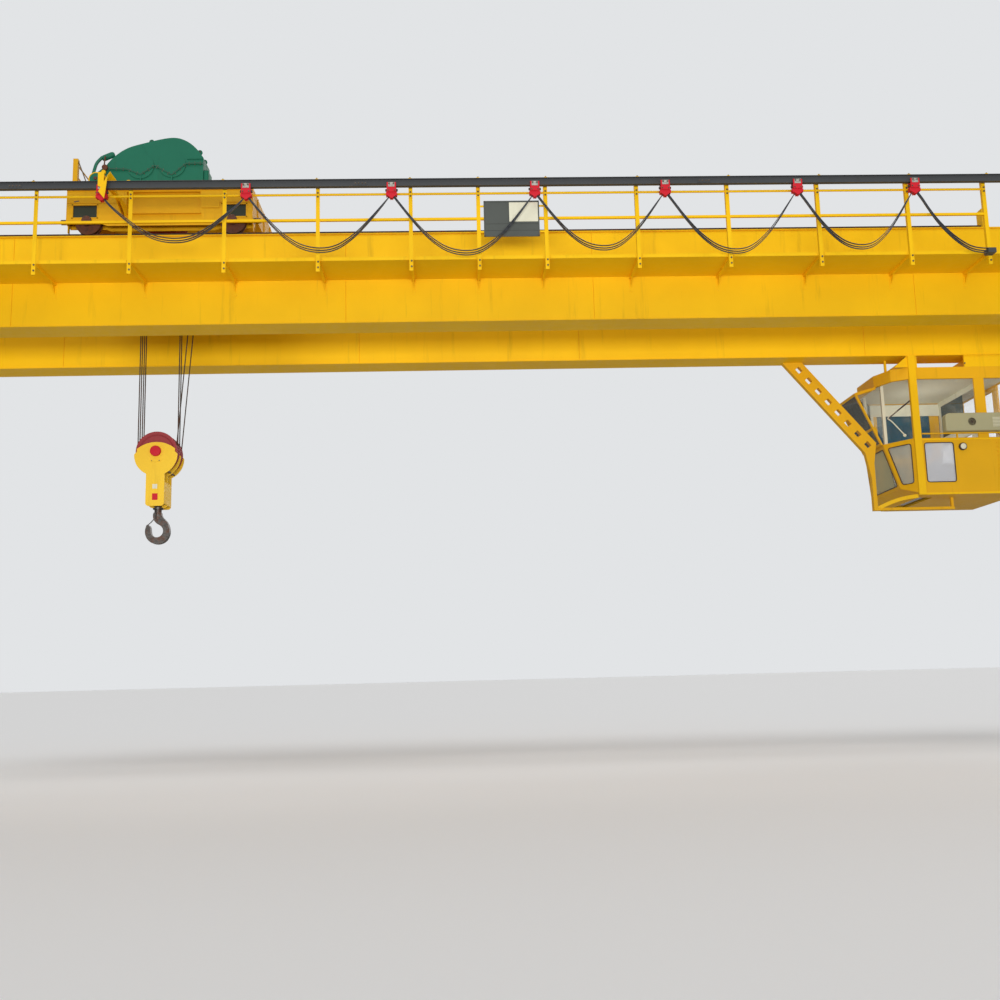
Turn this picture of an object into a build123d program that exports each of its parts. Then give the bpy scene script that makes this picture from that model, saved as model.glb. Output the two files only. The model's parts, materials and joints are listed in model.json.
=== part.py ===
from build123d import *
import math
import os

os.makedirs("parts", exist_ok=True)

# An electric overhead travelling crane: two box girders, a trolley with its hoist, a festoon
# cable along the near side and a driver's cabin under the far girder.
# All sizes are in mm. +X runs along the bridge to the cabin end, +Y along the runway, +Z up.
# The origin is at mid-span, midway between the girders, level with the top of the runway rails.

# Bridge
SPAN = 22500
TROLLEY_GAUGE = 2400
GIRDER_TOP = 950
GIRDER_DEPTH = 1590
GIRDER_BOX_WIDTH = 520
FLANGE_WIDTH = 560
TOP_PLATE = 18
BOTTOM_PLATE = 14
WEB_PLATE = 8
DIAPHRAGM_PLATE = 6
DIAPHRAGM_PITCH = 1500
TAPER_LENGTH = 240
TAPER_END_GAP = 65
GIRDER_END_DEPTH = 700

# Trolley rails on the girders
RAIL_HEIGHT = 134
RAIL_HEAD_WIDTH = 68
RAIL_HEAD_DEPTH = 40
RAIL_WEB = 13
RAIL_FOOT_WIDTH = 114
RAIL_FOOT_DEPTH = 14
RAIL_LEFT_GAP = 950
RAIL_RIGHT_GAP = 1950
STOP_LENGTH = 160
STOP_WIDTH = 200
STOP_PLATE = 20
STOP_HEIGHT = 420
STOP_RIB_SHARE = 0.8

# End trucks
TRUCK_WIDTH = 450
TRUCK_PLATE = 14
TRUCK_BOTTOM = 230
TRUCK_HALF_LENGTH = 2900
TRUCK_NOSE = 330
TRUCK_NOSE_RISE = 200
WHEELBASE_HALF = 2300
RUNWAY_WHEEL_RADIUS = 350
RUNWAY_WHEEL_WIDTH = 160
RUNWAY_FLANGE = 25
RUNWAY_FLANGE_WIDTH = 26
RUNWAY_AXLE_RADIUS = 60
AXLE_BOX_RADIUS = 130
AXLE_BOX_DEPTH = 50
WHEEL_SLOT_MARGIN = 45
BUFFER_RADIUS = 80
BUFFER_LENGTH = 150
DRIVE_GEAR_WIDTH = 190
DRIVE_GEAR_LENGTH = 300
DRIVE_GEAR_HEIGHT = 520
DRIVE_MOTOR_RADIUS = 120
DRIVE_MOTOR_LENGTH = 360

# Walkways and handrails
DECK_DROP = 831
DECK_WIDTH = 862
DECK_PLATE = 5
DECK_END_GAP = 850
TOE_PLATE_GAP = 60
TOE_PLATE_HEIGHT = 60
BRACKET_WIDTH = 50
BRACKET_DEPTH = 50
BRACKET_LEG = 220
BRACKET_LEG_THICKNESS = 8
POST_WIDTH = 63
POST_PLATE = 6
POST_DROP = 204
POST_RISE = 1290
RAIL_BAR = 40
TOP_RAIL_HEIGHT = 1262
MID_RAIL_HEIGHT = 675
POST_PITCH = 1500
SIGN_BAY = 1100
SIGN_LEFT_POST = 400
NEAR_POSTS = [SIGN_LEFT_POST + step * POST_PITCH - SIGN_BAY for step in range(-6, 1)]
NEAR_POSTS += [SIGN_LEFT_POST, SIGN_LEFT_POST + SIGN_BAY]
NEAR_POSTS += [SIGN_LEFT_POST + SIGN_BAY + step * POST_PITCH for step in range(1, 5)]
NEAR_POSTS += [8800]
FAR_POSTS = [step * POST_PITCH for step in range(-6, 7)]
DECK_HALF_LENGTH = SPAN / 2 - DECK_END_GAP
NEAR_POSTS = [x for x in NEAR_POSTS if abs(x) < DECK_HALF_LENGTH - POST_WIDTH]
FAR_POSTS = [x for x in FAR_POSTS if abs(x) < DECK_HALF_LENGTH - POST_WIDTH]
SIGN_TOP = 1140
SIGN_BOTTOM = 470
SIGN_PLATE = 4
SIGN_FRAME = 30

# Festoon track and cable carriers
TRACK_HEIGHT = 126
TRACK_WIDTH = 74
TRACK_WEB = 5
TRACK_FLANGE = 8.4
TRACK_BOTTOM = 1295
TRACK_OFFSET = 115
TRACK_LEFT_GAP = 1350
TRACK_RIGHT_GAP = 2050
ARM_WIDTH = 50
ARM_PLATE = 8
ARM_FOOT = 1150
CARRIER_STATIONS = [-3330, -1000, 1320, 3450, 5630, 7580]
TOW_STATION = -5620
CARRIER_HALF_LENGTH = 75
CARRIER_PLATE = 6
CARRIER_PLATE_GAP = 12
CARRIER_TOP = 1350
CARRIER_BLOCK_TOP = 1270
ROLLER_RADIUS = 22
ROLLER_OFFSET = 40
ROLLER_INNER = 8
RUNNING_CLEARANCE = 0.3
SADDLE_HALF_LENGTH = 90
SADDLE_HALF_WIDTH = 40
SADDLE_BOTTOM = 1085
SADDLE_SLOPE = 35
ANCHOR_REACH = 100
ANCHOR_HEIGHT = 100
CABLE_DIAMETER = 36
CABLE_EXIT_RUN = 110
SADDLE_RISE = 40
# A loop's shape, as shares of its span and of its sag, and the height of each loop's bottom
LOOP_SHAPE = [(0.13, 0.41), (0.25, 0.73), (0.40, 0.97), (0.59, 1.0), (0.74, 0.76), (0.86, 0.44)]
LOOP_BOTTOMS = [400, 210, 140, 200, 120, 170]

# Trolley
TROLLEY_CENTRE = -5035
TROLLEY_HALF_LENGTH = 1580
TROLLEY_WHEELBASE = 2460
TROLLEY_WHEEL_RADIUS = 200
TROLLEY_WHEEL_WIDTH = 110
TROLLEY_FLANGE = 18
TROLLEY_FLANGE_WIDTH = 18
TROLLEY_AXLE_RADIUS = 45
SIDE_BEAM_WIDTH = 250
SIDE_BEAM_PLATE = 12
SIDE_BEAM_TOP = 1850
SIDE_BEAM_BOTTOM = 1190
DECK_THICKNESS = 12
ROPE_GAP_HALF_LENGTH = 640
ROPE_GAP_HALF_WIDTH = 440
END_BEAM_WIDTH = 240
END_BEAM_DEPTH = 420
WINDOW_WIDTH = 400
WINDOW_BOTTOM = 1345
WINDOW_TOP = 1560
WINDOW_EDGE = 115
GUARD_DEPTH = 60
BELLY_RUN = 90
RECESS_LEFT = -5600
RECESS_RIGHT = -4350
RECESS_BOTTOM = 1420
RECESS_TOP = 1800
RECESS_DEPTH = 60
SWEEP_PLATE = 14
SWEEP_RISE = 25
BUFFER_DROP = 60
TROLLEY_BUFFER_RADIUS = 45
TROLLEY_BUFFER_LENGTH = 120

# Trolley's tow arm and rail
TOW_HALF_WIDTH = 35
TOW_TOP = 1530
TOW_DEPTH = 50
TOW_FINGER = 30
TOW_REACH = 120
TOW_BOTTOM = 1300
TOW_WEDGE_RUN = 420
TOW_WEDGE_DROP = 190
TOW_WEDGE_PLATE = 12
TROLLEY_CHAIN_BAR = 16
TROLLEY_RAIL_RISE = 590
TROLLEY_POST = 80
TROLLEY_POST_INSET = 60

# Hoist
DRUM_X = -4920
DRUM_Z = 2500
DRUM_RADIUS = 320
DRUM_NEAR_END = -430
DRUM_LENGTH = 1450
GEAR_NEAR = -1050
GEAR_WIDTH = 480
GEAR_LEFT = -6060
GEAR_RIGHT = -4380
GEAR_TAIL = -6330
GEAR_HUMP_TOP = 2935
GEAR_SHOULDER = 2560
GEAR_TAIL_TOP = 2200
GEAR_LEFT_TOP = 2430
GEAR_FOOT = 30
GEAR_FOOT_REACH = 55
GEAR_HUMP = [(-5890, 2622), (-5685, 2756), (-5450, 2830), (-5060, 2924), (DRUM_X + 70, GEAR_HUMP_TOP),
             (-4600, 2822), (-4470, 2690)]
JOINT_LINE = [(GEAR_LEFT, 2375), (-5700, 2362), (-5455, 2260), (-5215, 2430), (DRUM_X, 2248),
              (-4670, 2460), (GEAR_RIGHT, 2465)]
JOINT_PLATE = 30
JOINT_RIM = 25
BOSS_RADIUS = 235
BOSSES = [(-5470, 2410), (DRUM_X, 2430)]
BOSS_RISE = 14
INPUT_BOSS_RADIUS = 140
INPUT_BOSS_RISE = 30
GEAR_RIB = 24
GEAR_RIB_RISE = 22
GEAR_RIBS = [(-5455, 2235), (DRUM_X, 2225)]
COVER_ENDS = ((-5640, 2766), (-5400, 2836))
COVER_RISE = 16
INPUT_SETBACK = 140
INPUT_Z = 2120
MOTOR_RADIUS = 195
MOTOR_NEAR = -340
MOTOR_LENGTH = 760
MOTOR_FOOT_HALF = 160
MOTOR_FOOT_NEAR = -290
MOTOR_FOOT_FAR = 370
BLOCK_X = -5300
BLOCK_Z = -2520
SHEAVE_RADIUS = 360
GROOVE_RADIUS = 322
SHEAVE_WIDTH = 70
SHEAVE_STATIONS = [-172, -62, 62, 172]
SHEAVE_AXLE_RADIUS = 60
SHAFT_CLEARANCE = 0.05
ROPE_RADIUS = 10
ROPE_SEAT = 0.3
UPPER_SHEAVE_Z = 1700
UPPER_SHEAVE_X = -5310
CHEEK_RADIUS = 375
CHEEK_PLATE = 14
CHEEK_STATIONS = [-232, 0, 232]
CHEEK_TOP_RISE = 110
CHEEK_DROP = 60
CHEEK_CUT_RADIUS = 520
STEM_ROUND = 55
STEM_NECK = 200
STEM_BLOCK_RISE = 40
AXLE_OVERHANG = 60
SHANK_BORE = 320
STEM_WIDTH = 320
STEM_BOTTOM = -3490
STEM_BLOCK_TOP = -3060
HOOK_SHANK_RADIUS = 62
HOOK_THICKNESS = 110
HOOK_NECK = 330
HOOK_CENTRE_DROP = 420

# Cabin
CABIN_NEAR = 940
CABIN_WIDTH = 2100
CABIN_REAR_GAP = 500
CABIN_LENGTH = 2040
CORNER_RUN = 380
CABIN_CHAMFER = 560
CABIN_BELT = -2290
CABIN_FLOOR = -3370
CABIN_WALL = 40
CHIN_TOP = -3200
CHIN_SETBACK = 170
FLOOR_SETBACK = 470
BELT_PLATE = 20
ROOF_TOP = -870
ROOF_BOTTOM = -1100
ROOF_PLATE = 20
ROOF_REACH = 70
ROOF_FRONT_HALF = 440
SHOULDER_SETBACK = 100
ROOF_SHOULDER_INSET = 170
FASCIA_PLATE = 12
FASCIA_LIP = 60
CEILING_THICKNESS = 30
GLASS = 6
CORNER_PANE_GAP = 45
WINDOW_MARGIN = 70
WINDOW_ROUND = 55
SIDE_WINDOW_GAP = 120
SIDE_WINDOW_LENGTH = 710
FLOOR_GLASS_GAP = 50
FLOOR_GLASS_LENGTH = 280
FLOOR_GLASS_WIDTH = 1400
LOUVRE_GAP = 60
LOUVRE_LENGTH = 380
LOUVRE_TOP = -2340
LOUVRE_PITCH = 83
LOUVRE_BLADES = 10
LOUVRE_PLATE = 22
LOUVRE_REACH = 14
CREAM_POST = 60
PARTITION_PLATE = 30
PARTITION_GLASS_WIDTH = 1800
PARTITION_GLASS_BOTTOM = -1860
PARTITION_GLASS_TOP = -1190
PARTITION_SILL = 200
CORNER_POST = 140
MIDDLE_POST = 200
MIDDLE_POST_GAP = 570
REAR_POST = 80
SIDE_RAIL = 24
SIDE_RAIL_Z = -2200
SHIELD_REACH = 460
SHIELD_TOP_Z = -1210
SHIELD_BAR = 50
SHIELD_DEPTH = 36
SHIELD_SASH = 0.3
VISOR_PLATE = 12
DOOR_WIDTH = 760
DOOR_PLATE = 25
DOOR_BORDER = 90
DOOR_HANDLE = 24
AIR_UNIT_GAP = 90
AIR_UNIT_LENGTH = 1370
AIR_UNIT_TOP = -1820
AIR_UNIT_BOTTOM = -2170
AIR_UNIT_DEPTH = 150
AIR_UNIT_ROUND = 90
AIR_FAN_GAP = 510
AIR_FAN_RADIUS = 75
HANGER_POST = 40
HANGER_PLATE = 12
GUSSET_RUN = 270
CROSSBEAM_WIDTH = 150
REAR_BEAM_LENGTH = 920
BRACE_Y = 1350
BRACE_DEPTH = 110
BRACE_WIDTH = 300
BRACE_TOP_REACH = 1755
BRACE_KNEE_REACH = 330
BRACE_KNEE_Z = -2370
BRACE_LOW_REACH = 318
BRACE_LOW_Z = -3600
BRACE_LEG = 75
BRACE_BAR = 50
BRACE_END_GAP = 840
BRACE_SLOT_START = 0.7
BRACE_SLOTS = 8
BRACE_SLOT_LENGTH = 110
BRACE_SLOT_WIDTH = 95
SEAT_GAP = 950
SEAT_LENGTH = 480
SEAT_WIDTH = 500
SEAT_TOP = -2820
SEAT_CUSHION = 90
SEAT_BACK_HEIGHT = 560
CONSOLE_GAP = 60
CONSOLE_WIDTH = 260
CONSOLE_REACH = 250
CONSOLE_RISE = 200

# Places worked out from the sizes above
GIRDER_BOTTOM = GIRDER_TOP - GIRDER_DEPTH
GIRDER_Y = TROLLEY_GAUGE / 2
TRUCK_X = SPAN / 2
GIRDER_HALF = TRUCK_X - TRUCK_WIDTH / 2
TAPER_END = GIRDER_HALF - TAPER_END_GAP
TAPER_START = TAPER_END - TAPER_LENGTH
RAIL_LEFT_END = -TRUCK_X + RAIL_LEFT_GAP
RAIL_RIGHT_END = TRUCK_X - RAIL_RIGHT_GAP
RAIL_TOP = GIRDER_TOP + RAIL_HEIGHT
WEB_FACE = GIRDER_Y + GIRDER_BOX_WIDTH / 2
DECK_BOTTOM = GIRDER_TOP - DECK_DROP
DECK_EDGE = WEB_FACE + DECK_WIDTH
POST_FACE = DECK_EDGE + POST_WIDTH
TRACK_Y = -(POST_FACE + TRACK_OFFSET)
TRACK_TOP = TRACK_BOTTOM + TRACK_HEIGHT
TRACK_LEFT_END = -TRUCK_X + TRACK_LEFT_GAP
TRACK_RIGHT_END = TRUCK_X - TRACK_RIGHT_GAP
ANCHOR_STATION = NEAR_POSTS[-1] - ANCHOR_REACH
SADDLE_EDGE = SADDLE_BOTTOM + SADDLE_HALF_LENGTH * math.tan(math.radians(SADDLE_SLOPE))
SADDLE_TOP = SADDLE_EDGE + SADDLE_RISE
TROLLEY_LEFT = TROLLEY_CENTRE - TROLLEY_HALF_LENGTH
TROLLEY_RIGHT = TROLLEY_CENTRE + TROLLEY_HALF_LENGTH
AXLE_Z = RAIL_TOP + TROLLEY_WHEEL_RADIUS + RUNNING_CLEARANCE
AXLE_STATIONS = (TROLLEY_CENTRE - TROLLEY_WHEELBASE / 2, TROLLEY_CENTRE + TROLLEY_WHEELBASE / 2)
DECK_TOP = SIDE_BEAM_TOP + DECK_THICKNESS
GEAR_FAR = GEAR_NEAR + GEAR_WIDTH
INPUT_X = GEAR_TAIL + INPUT_SETBACK
HOOK_Z = STEM_BOTTOM - HOOK_CENTRE_DROP
CABIN_REAR = TRUCK_X - CABIN_REAR_GAP
CABIN_SIDE_FRONT = CABIN_REAR - CABIN_LENGTH
CABIN_FRONT = CABIN_SIDE_FRONT - CORNER_RUN
CABIN_FAR = CABIN_NEAR + CABIN_WIDTH
CABIN_MIDDLE = CABIN_NEAR + CABIN_WIDTH / 2
FRONT_HALF = CABIN_WIDTH / 2 - CABIN_CHAMFER
CHIN_FRONT = CABIN_FRONT + CHIN_SETBACK
FLOOR_FRONT = CABIN_FRONT + FLOOR_SETBACK
ROOF_FRONT = CABIN_FRONT - ROOF_REACH
ROOF_SHOULDER = CABIN_FRONT + SHOULDER_SETBACK
SHIELD_FOOT = (CABIN_FRONT, CABIN_BELT + BELT_PLATE)
SHIELD_TOP = (CABIN_FRONT - SHIELD_REACH, SHIELD_TOP_Z)
SIDE_WINDOW_LEFT = CABIN_SIDE_FRONT + SIDE_WINDOW_GAP
SIDE_WINDOW_RIGHT = SIDE_WINDOW_LEFT + SIDE_WINDOW_LENGTH
FLOOR_GLASS_LEFT = FLOOR_FRONT + FLOOR_GLASS_GAP
FLOOR_GLASS_RIGHT = FLOOR_GLASS_LEFT + FLOOR_GLASS_LENGTH
MIDDLE_POST_RIGHT = CABIN_REAR - MIDDLE_POST_GAP
MIDDLE_POST_LEFT = MIDDLE_POST_RIGHT - MIDDLE_POST
PARTITION_X = MIDDLE_POST_RIGHT
LOUVRE_RIGHT = CABIN_REAR - LOUVRE_GAP
LOUVRE_LEFT = LOUVRE_RIGHT - LOUVRE_LENGTH
AIR_UNIT_RIGHT = CABIN_REAR - AIR_UNIT_GAP
AIR_UNIT_LEFT = AIR_UNIT_RIGHT - AIR_UNIT_LENGTH
AIR_FAN_X = AIR_UNIT_LEFT + AIR_FAN_GAP
REAR_BEAM_LEFT = CABIN_REAR - REAR_BEAM_LENGTH
BRACE_TOP = (CABIN_FRONT - BRACE_TOP_REACH, GIRDER_BOTTOM)
BRACE_KNEE = (CABIN_FRONT - BRACE_KNEE_REACH, BRACE_KNEE_Z)
BRACE_LOW = (CABIN_FRONT - BRACE_LOW_REACH, BRACE_LOW_Z)
BRACE_END = CABIN_SIDE_FRONT + BRACE_END_GAP
SEAT_BACK_X = CABIN_REAR - SEAT_GAP
NEAR, FAR = -1, 1


def xz_at(y):
    """Sketch plane at this y, with its own x along X and its own y along Z. It extrudes towards -Y."""
    return Plane.XZ.offset(-y)


def xy_box(x0, x1, y0, y1, z0, z1):
    """A plate or block between two corners, added to the open part."""
    with Locations([((x0 + x1) / 2, (y0 + y1) / 2, (z0 + z1) / 2)]):
        Box(x1 - x0, y1 - y0, z1 - z0)


def save(built, name):
    """Labels a finished piece and writes its file."""
    built.part.label = name
    export_step(built.part, f"parts/{name}.step")


# Girders: top flange, two webs with their diaphragms, and a bottom flange bent up at both ends
def lower_line(rise):
    """The girder's underside from left to right, raised by this much."""
    low = GIRDER_BOTTOM + rise
    high = GIRDER_TOP - GIRDER_END_DEPTH + rise
    return [(-GIRDER_HALF, high), (-TAPER_END, high), (-TAPER_START, low),
            (TAPER_START, low), (TAPER_END, high), (GIRDER_HALF, high)]


for side, girder in ((NEAR, "near_girder"), (FAR, "far_girder")):
    centre = side * GIRDER_Y

    with BuildPart() as top_flange:
        xy_box(-GIRDER_HALF, GIRDER_HALF, centre - FLANGE_WIDTH / 2, centre + FLANGE_WIDTH / 2,
               GIRDER_TOP - TOP_PLATE, GIRDER_TOP)
    save(top_flange, girder + "_top_flange")

    with BuildPart() as webs:
        for web_y in (centre + GIRDER_BOX_WIDTH / 2, centre - GIRDER_BOX_WIDTH / 2 + WEB_PLATE):
            with BuildSketch(xz_at(web_y)):
                with BuildLine():
                    Polyline([(-GIRDER_HALF, GIRDER_TOP - TOP_PLATE)] + lower_line(BOTTOM_PLATE)
                             + [(GIRDER_HALF, GIRDER_TOP - TOP_PLATE)], close=True)
                make_face()
            extrude(amount=WEB_PLATE)
        inner = GIRDER_BOX_WIDTH / 2 - WEB_PLATE
        count = int(TAPER_START / DIAPHRAGM_PITCH)
        for step in range(-count, count + 1):
            station = step * DIAPHRAGM_PITCH
            xy_box(station - DIAPHRAGM_PLATE / 2, station + DIAPHRAGM_PLATE / 2, centre - inner, centre + inner,
                   GIRDER_BOTTOM + BOTTOM_PLATE, GIRDER_TOP - TOP_PLATE)
    save(webs, girder + "_webs")

    with BuildPart() as bottom_flange:
        with BuildSketch(xz_at(centre + FLANGE_WIDTH / 2)):
            with BuildLine():
                Polyline(lower_line(0) + lower_line(BOTTOM_PLATE)[::-1], close=True)
            make_face()
        extrude(amount=FLANGE_WIDTH)
    save(bottom_flange, girder + "_bottom_flange")

# Trolley rails and their end stops
with BuildPart() as trolley_rails:
    for side in (NEAR, FAR):
        with BuildSketch(Plane.YZ.offset(RAIL_LEFT_END)):
            with Locations([(side * GIRDER_Y, GIRDER_TOP + RAIL_FOOT_DEPTH / 2)]):
                Rectangle(RAIL_FOOT_WIDTH, RAIL_FOOT_DEPTH)
            with Locations([(side * GIRDER_Y, GIRDER_TOP + RAIL_HEIGHT / 2)]):
                Rectangle(RAIL_WEB, RAIL_HEIGHT - 2)
            with Locations([(side * GIRDER_Y, RAIL_TOP - RAIL_HEAD_DEPTH / 2)]):
                Rectangle(RAIL_HEAD_WIDTH, RAIL_HEAD_DEPTH)
        extrude(amount=RAIL_RIGHT_END - RAIL_LEFT_END)
save(trolley_rails, "trolley_rails")

with BuildPart() as rail_end_stops:
    for side in (NEAR, FAR):
        centre = side * GIRDER_Y
        for face, outward in ((RAIL_LEFT_END, -1), (RAIL_RIGHT_END, 1)):
            plate = sorted((face, face + outward * STOP_PLATE))
            xy_box(plate[0], plate[1], centre - STOP_WIDTH / 2, centre + STOP_WIDTH / 2,
                   GIRDER_TOP, GIRDER_TOP + STOP_HEIGHT)
            for rib_y in (centre - STOP_WIDTH / 4, centre + STOP_WIDTH / 4):
                with BuildSketch(xz_at(rib_y + STOP_PLATE / 2)):
                    with BuildLine():
                        Polyline([(face + outward * STOP_PLATE, GIRDER_TOP),
                                  (face + outward * STOP_PLATE, GIRDER_TOP + STOP_HEIGHT * STOP_RIB_SHARE),
                                  (face + outward * (STOP_PLATE + STOP_LENGTH), GIRDER_TOP)], close=True)
                    make_face()
                extrude(amount=STOP_PLATE)
save(rail_end_stops, "rail_end_stops")

# End trucks: hollow boxes that hold the runway wheels between their side plates
for side, truck in ((-1, "left_end_truck"), (1, "right_end_truck")):
    centre = side * TRUCK_X
    half = TRUCK_HALF_LENGTH
    outline = [(-half, GIRDER_TOP), (half, GIRDER_TOP), (half, TRUCK_BOTTOM + TRUCK_NOSE_RISE),
               (half - TRUCK_NOSE, TRUCK_BOTTOM), (-half + TRUCK_NOSE, TRUCK_BOTTOM),
               (-half, TRUCK_BOTTOM + TRUCK_NOSE_RISE)]
    with BuildPart() as end_truck:
        with BuildSketch(Plane.YZ.offset(centre - TRUCK_WIDTH / 2)):
            with BuildLine():
                Polyline(outline, close=True)
            make_face()
        extrude(amount=TRUCK_WIDTH)
        with BuildSketch(Plane.YZ.offset(centre - TRUCK_WIDTH / 2 + TRUCK_PLATE)):
            with BuildLine():
                Polyline(outline, close=True)
            make_face()
            offset(amount=-TRUCK_PLATE, kind=Kind.INTERSECTION)
        extrude(amount=TRUCK_WIDTH - 2 * TRUCK_PLATE, mode=Mode.SUBTRACT)
        slot_half = RUNWAY_WHEEL_RADIUS + WHEEL_SLOT_MARGIN
        for wheel_y in (-WHEELBASE_HALF, WHEELBASE_HALF):
            with Locations([(centre, wheel_y, TRUCK_BOTTOM)]):
                Box(TRUCK_WIDTH - 4 * TRUCK_PLATE, 2 * slot_half, 2 * TRUCK_NOSE_RISE, mode=Mode.SUBTRACT)
            with BuildSketch(Plane.YZ.offset(centre - TRUCK_WIDTH)):
                with Locations([(wheel_y, RUNWAY_WHEEL_RADIUS)]):
                    Circle(RUNWAY_AXLE_RADIUS + RUNNING_CLEARANCE)
            extrude(amount=2 * TRUCK_WIDTH, mode=Mode.SUBTRACT)
    save(end_truck, truck)

with BuildPart() as runway_wheels:
    for side in (-1, 1):
        for wheel_y in (-WHEELBASE_HALF, WHEELBASE_HALF):
            hub = Plane(origin=(side * TRUCK_X, wheel_y, RUNWAY_WHEEL_RADIUS), x_dir=(0, 1, 0), z_dir=(1, 0, 0))
            half_wheel = RUNWAY_WHEEL_WIDTH / 2
            with BuildSketch(hub.offset(-half_wheel)):
                Circle(RUNWAY_WHEEL_RADIUS)
            extrude(amount=RUNWAY_WHEEL_WIDTH)
            for flange_at in (-half_wheel, half_wheel - RUNWAY_FLANGE_WIDTH):
                with BuildSketch(hub.offset(flange_at)):
                    Circle(RUNWAY_WHEEL_RADIUS + RUNWAY_FLANGE)
                extrude(amount=RUNWAY_FLANGE_WIDTH)
            axle_half = TRUCK_WIDTH / 2 + AXLE_BOX_DEPTH
            with BuildSketch(hub.offset(-axle_half)):
                Circle(RUNWAY_AXLE_RADIUS)
            extrude(amount=2 * axle_half)
            for box_at in (-axle_half, TRUCK_WIDTH / 2 + RUNNING_CLEARANCE):
                with BuildSketch(hub.offset(box_at)):
                    Circle(AXLE_BOX_RADIUS)
                extrude(amount=AXLE_BOX_DEPTH - RUNNING_CLEARANCE)
save(runway_wheels, "runway_wheels")

with BuildPart() as bridge_buffers:
    for side in (-1, 1):
        for end in (-1, 1):
            face = Plane(origin=(side * TRUCK_X, end * TRUCK_HALF_LENGTH, (GIRDER_TOP + TRUCK_BOTTOM) / 2 + 100),
                         x_dir=(1, 0, 0), z_dir=(0, end, 0))
            with BuildSketch(face):
                Circle(BUFFER_RADIUS)
            extrude(amount=BUFFER_LENGTH)
save(bridge_buffers, "bridge_buffers")

with BuildPart() as bridge_drives:
    for side in (-1, 1):
        inner_face = side * (TRUCK_X - TRUCK_WIDTH / 2 - AXLE_BOX_DEPTH - RUNNING_CLEARANCE)
        near_x, far_x = sorted((inner_face, inner_face - side * DRIVE_GEAR_WIDTH))
        xy_box(near_x, far_x, WHEELBASE_HALF - DRIVE_GEAR_LENGTH / 2, WHEELBASE_HALF + DRIVE_GEAR_LENGTH / 2,
               RUNWAY_WHEEL_RADIUS - DRIVE_GEAR_LENGTH / 2,
               RUNWAY_WHEEL_RADIUS - DRIVE_GEAR_LENGTH / 2 + DRIVE_GEAR_HEIGHT)
        shaft = Plane(origin=(inner_face - side * DRIVE_GEAR_WIDTH / 2, WHEELBASE_HALF - DRIVE_GEAR_LENGTH / 2,
                              RUNWAY_WHEEL_RADIUS + DRIVE_GEAR_HEIGHT / 2), x_dir=(1, 0, 0), z_dir=(0, -1, 0))
        with BuildSketch(shaft):
            Circle(DRIVE_MOTOR_RADIUS * 0.7)
        extrude(amount=DRIVE_MOTOR_LENGTH)
save(bridge_drives, "bridge_drives")


# Walkways and handrails
def build_walkway(side, posts, name):
    """A deck plate with its toe plate, carried on a bracket at every post."""
    with BuildPart() as walkway:
        inner, outer = side * WEB_FACE, side * DECK_EDGE
        low, high = sorted((inner, outer))
        xy_box(-DECK_HALF_LENGTH, DECK_HALF_LENGTH, low, high, DECK_BOTTOM, DECK_BOTTOM + DECK_PLATE)
        toe = sorted((outer, outer - side * DECK_PLATE))
        for left, right in zip([-DECK_HALF_LENGTH] + posts, posts + [DECK_HALF_LENGTH]):
            xy_box(left + TOE_PLATE_GAP, right - TOE_PLATE_GAP, toe[0], toe[1], DECK_BOTTOM,
                   DECK_BOTTOM + TOE_PLATE_HEIGHT)
        leg = sorted((inner, inner + side * BRACKET_LEG_THICKNESS))
        for station in posts:
            xy_box(station - BRACKET_WIDTH / 2, station + BRACKET_WIDTH / 2, low, high,
                   DECK_BOTTOM - BRACKET_DEPTH, DECK_BOTTOM)
            xy_box(station - BRACKET_WIDTH / 2, station + BRACKET_WIDTH / 2, leg[0], leg[1],
                   DECK_BOTTOM - BRACKET_DEPTH - BRACKET_LEG, DECK_BOTTOM)
    save(walkway, name)


def build_handrail(side, posts, name):
    """Angle posts on the deck's edge with a top rail and a mid rail behind their outer leg."""
    with BuildPart() as handrail:
        edge, face = side * DECK_EDGE, side * POST_FACE
        low, high = sorted((edge, face))
        plate = sorted((face, face - side * POST_PLATE))
        for station in posts:
            xy_box(station - POST_WIDTH / 2, station + POST_WIDTH / 2, plate[0], plate[1],
                   DECK_BOTTOM - POST_DROP, DECK_BOTTOM + POST_RISE)
            xy_box(station - POST_WIDTH / 2, station - POST_WIDTH / 2 + POST_PLATE, low, high,
                   DECK_BOTTOM - POST_DROP, DECK_BOTTOM + POST_RISE)
        bar = sorted((face - side * POST_PLATE, face - side * (POST_PLATE + RAIL_BAR)))
        for height in (TOP_RAIL_HEIGHT, MID_RAIL_HEIGHT):
            xy_box(posts[0] - POST_WIDTH / 2, posts[-1] + POST_WIDTH / 2, bar[0], bar[1],
                   DECK_BOTTOM + height - RAIL_BAR / 2, DECK_BOTTOM + height + RAIL_BAR / 2)
    save(handrail, name)


build_walkway(NEAR, NEAR_POSTS, "near_walkway")
build_walkway(FAR, FAR_POSTS, "far_walkway")
build_handrail(NEAR, NEAR_POSTS, "near_handrail")
build_handrail(FAR, FAR_POSTS, "far_handrail")

with BuildPart() as sign_board:
    left = SIGN_LEFT_POST - POST_WIDTH / 2
    right = SIGN_LEFT_POST + SIGN_BAY + POST_WIDTH / 2
    xy_box(left, right, -POST_FACE - SIGN_PLATE, -POST_FACE, SIGN_BOTTOM, SIGN_TOP)
    for bar in (SIGN_BOTTOM, SIGN_TOP - SIGN_FRAME):
        xy_box(left, right, -POST_FACE - 3 * SIGN_PLATE, -POST_FACE - SIGN_PLATE, bar, bar + SIGN_FRAME)
    for bar in (left, right - SIGN_FRAME):
        xy_box(bar, bar + SIGN_FRAME, -POST_FACE - 3 * SIGN_PLATE, -POST_FACE - SIGN_PLATE, SIGN_BOTTOM, SIGN_TOP)
save(sign_board, "sign_board")

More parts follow.
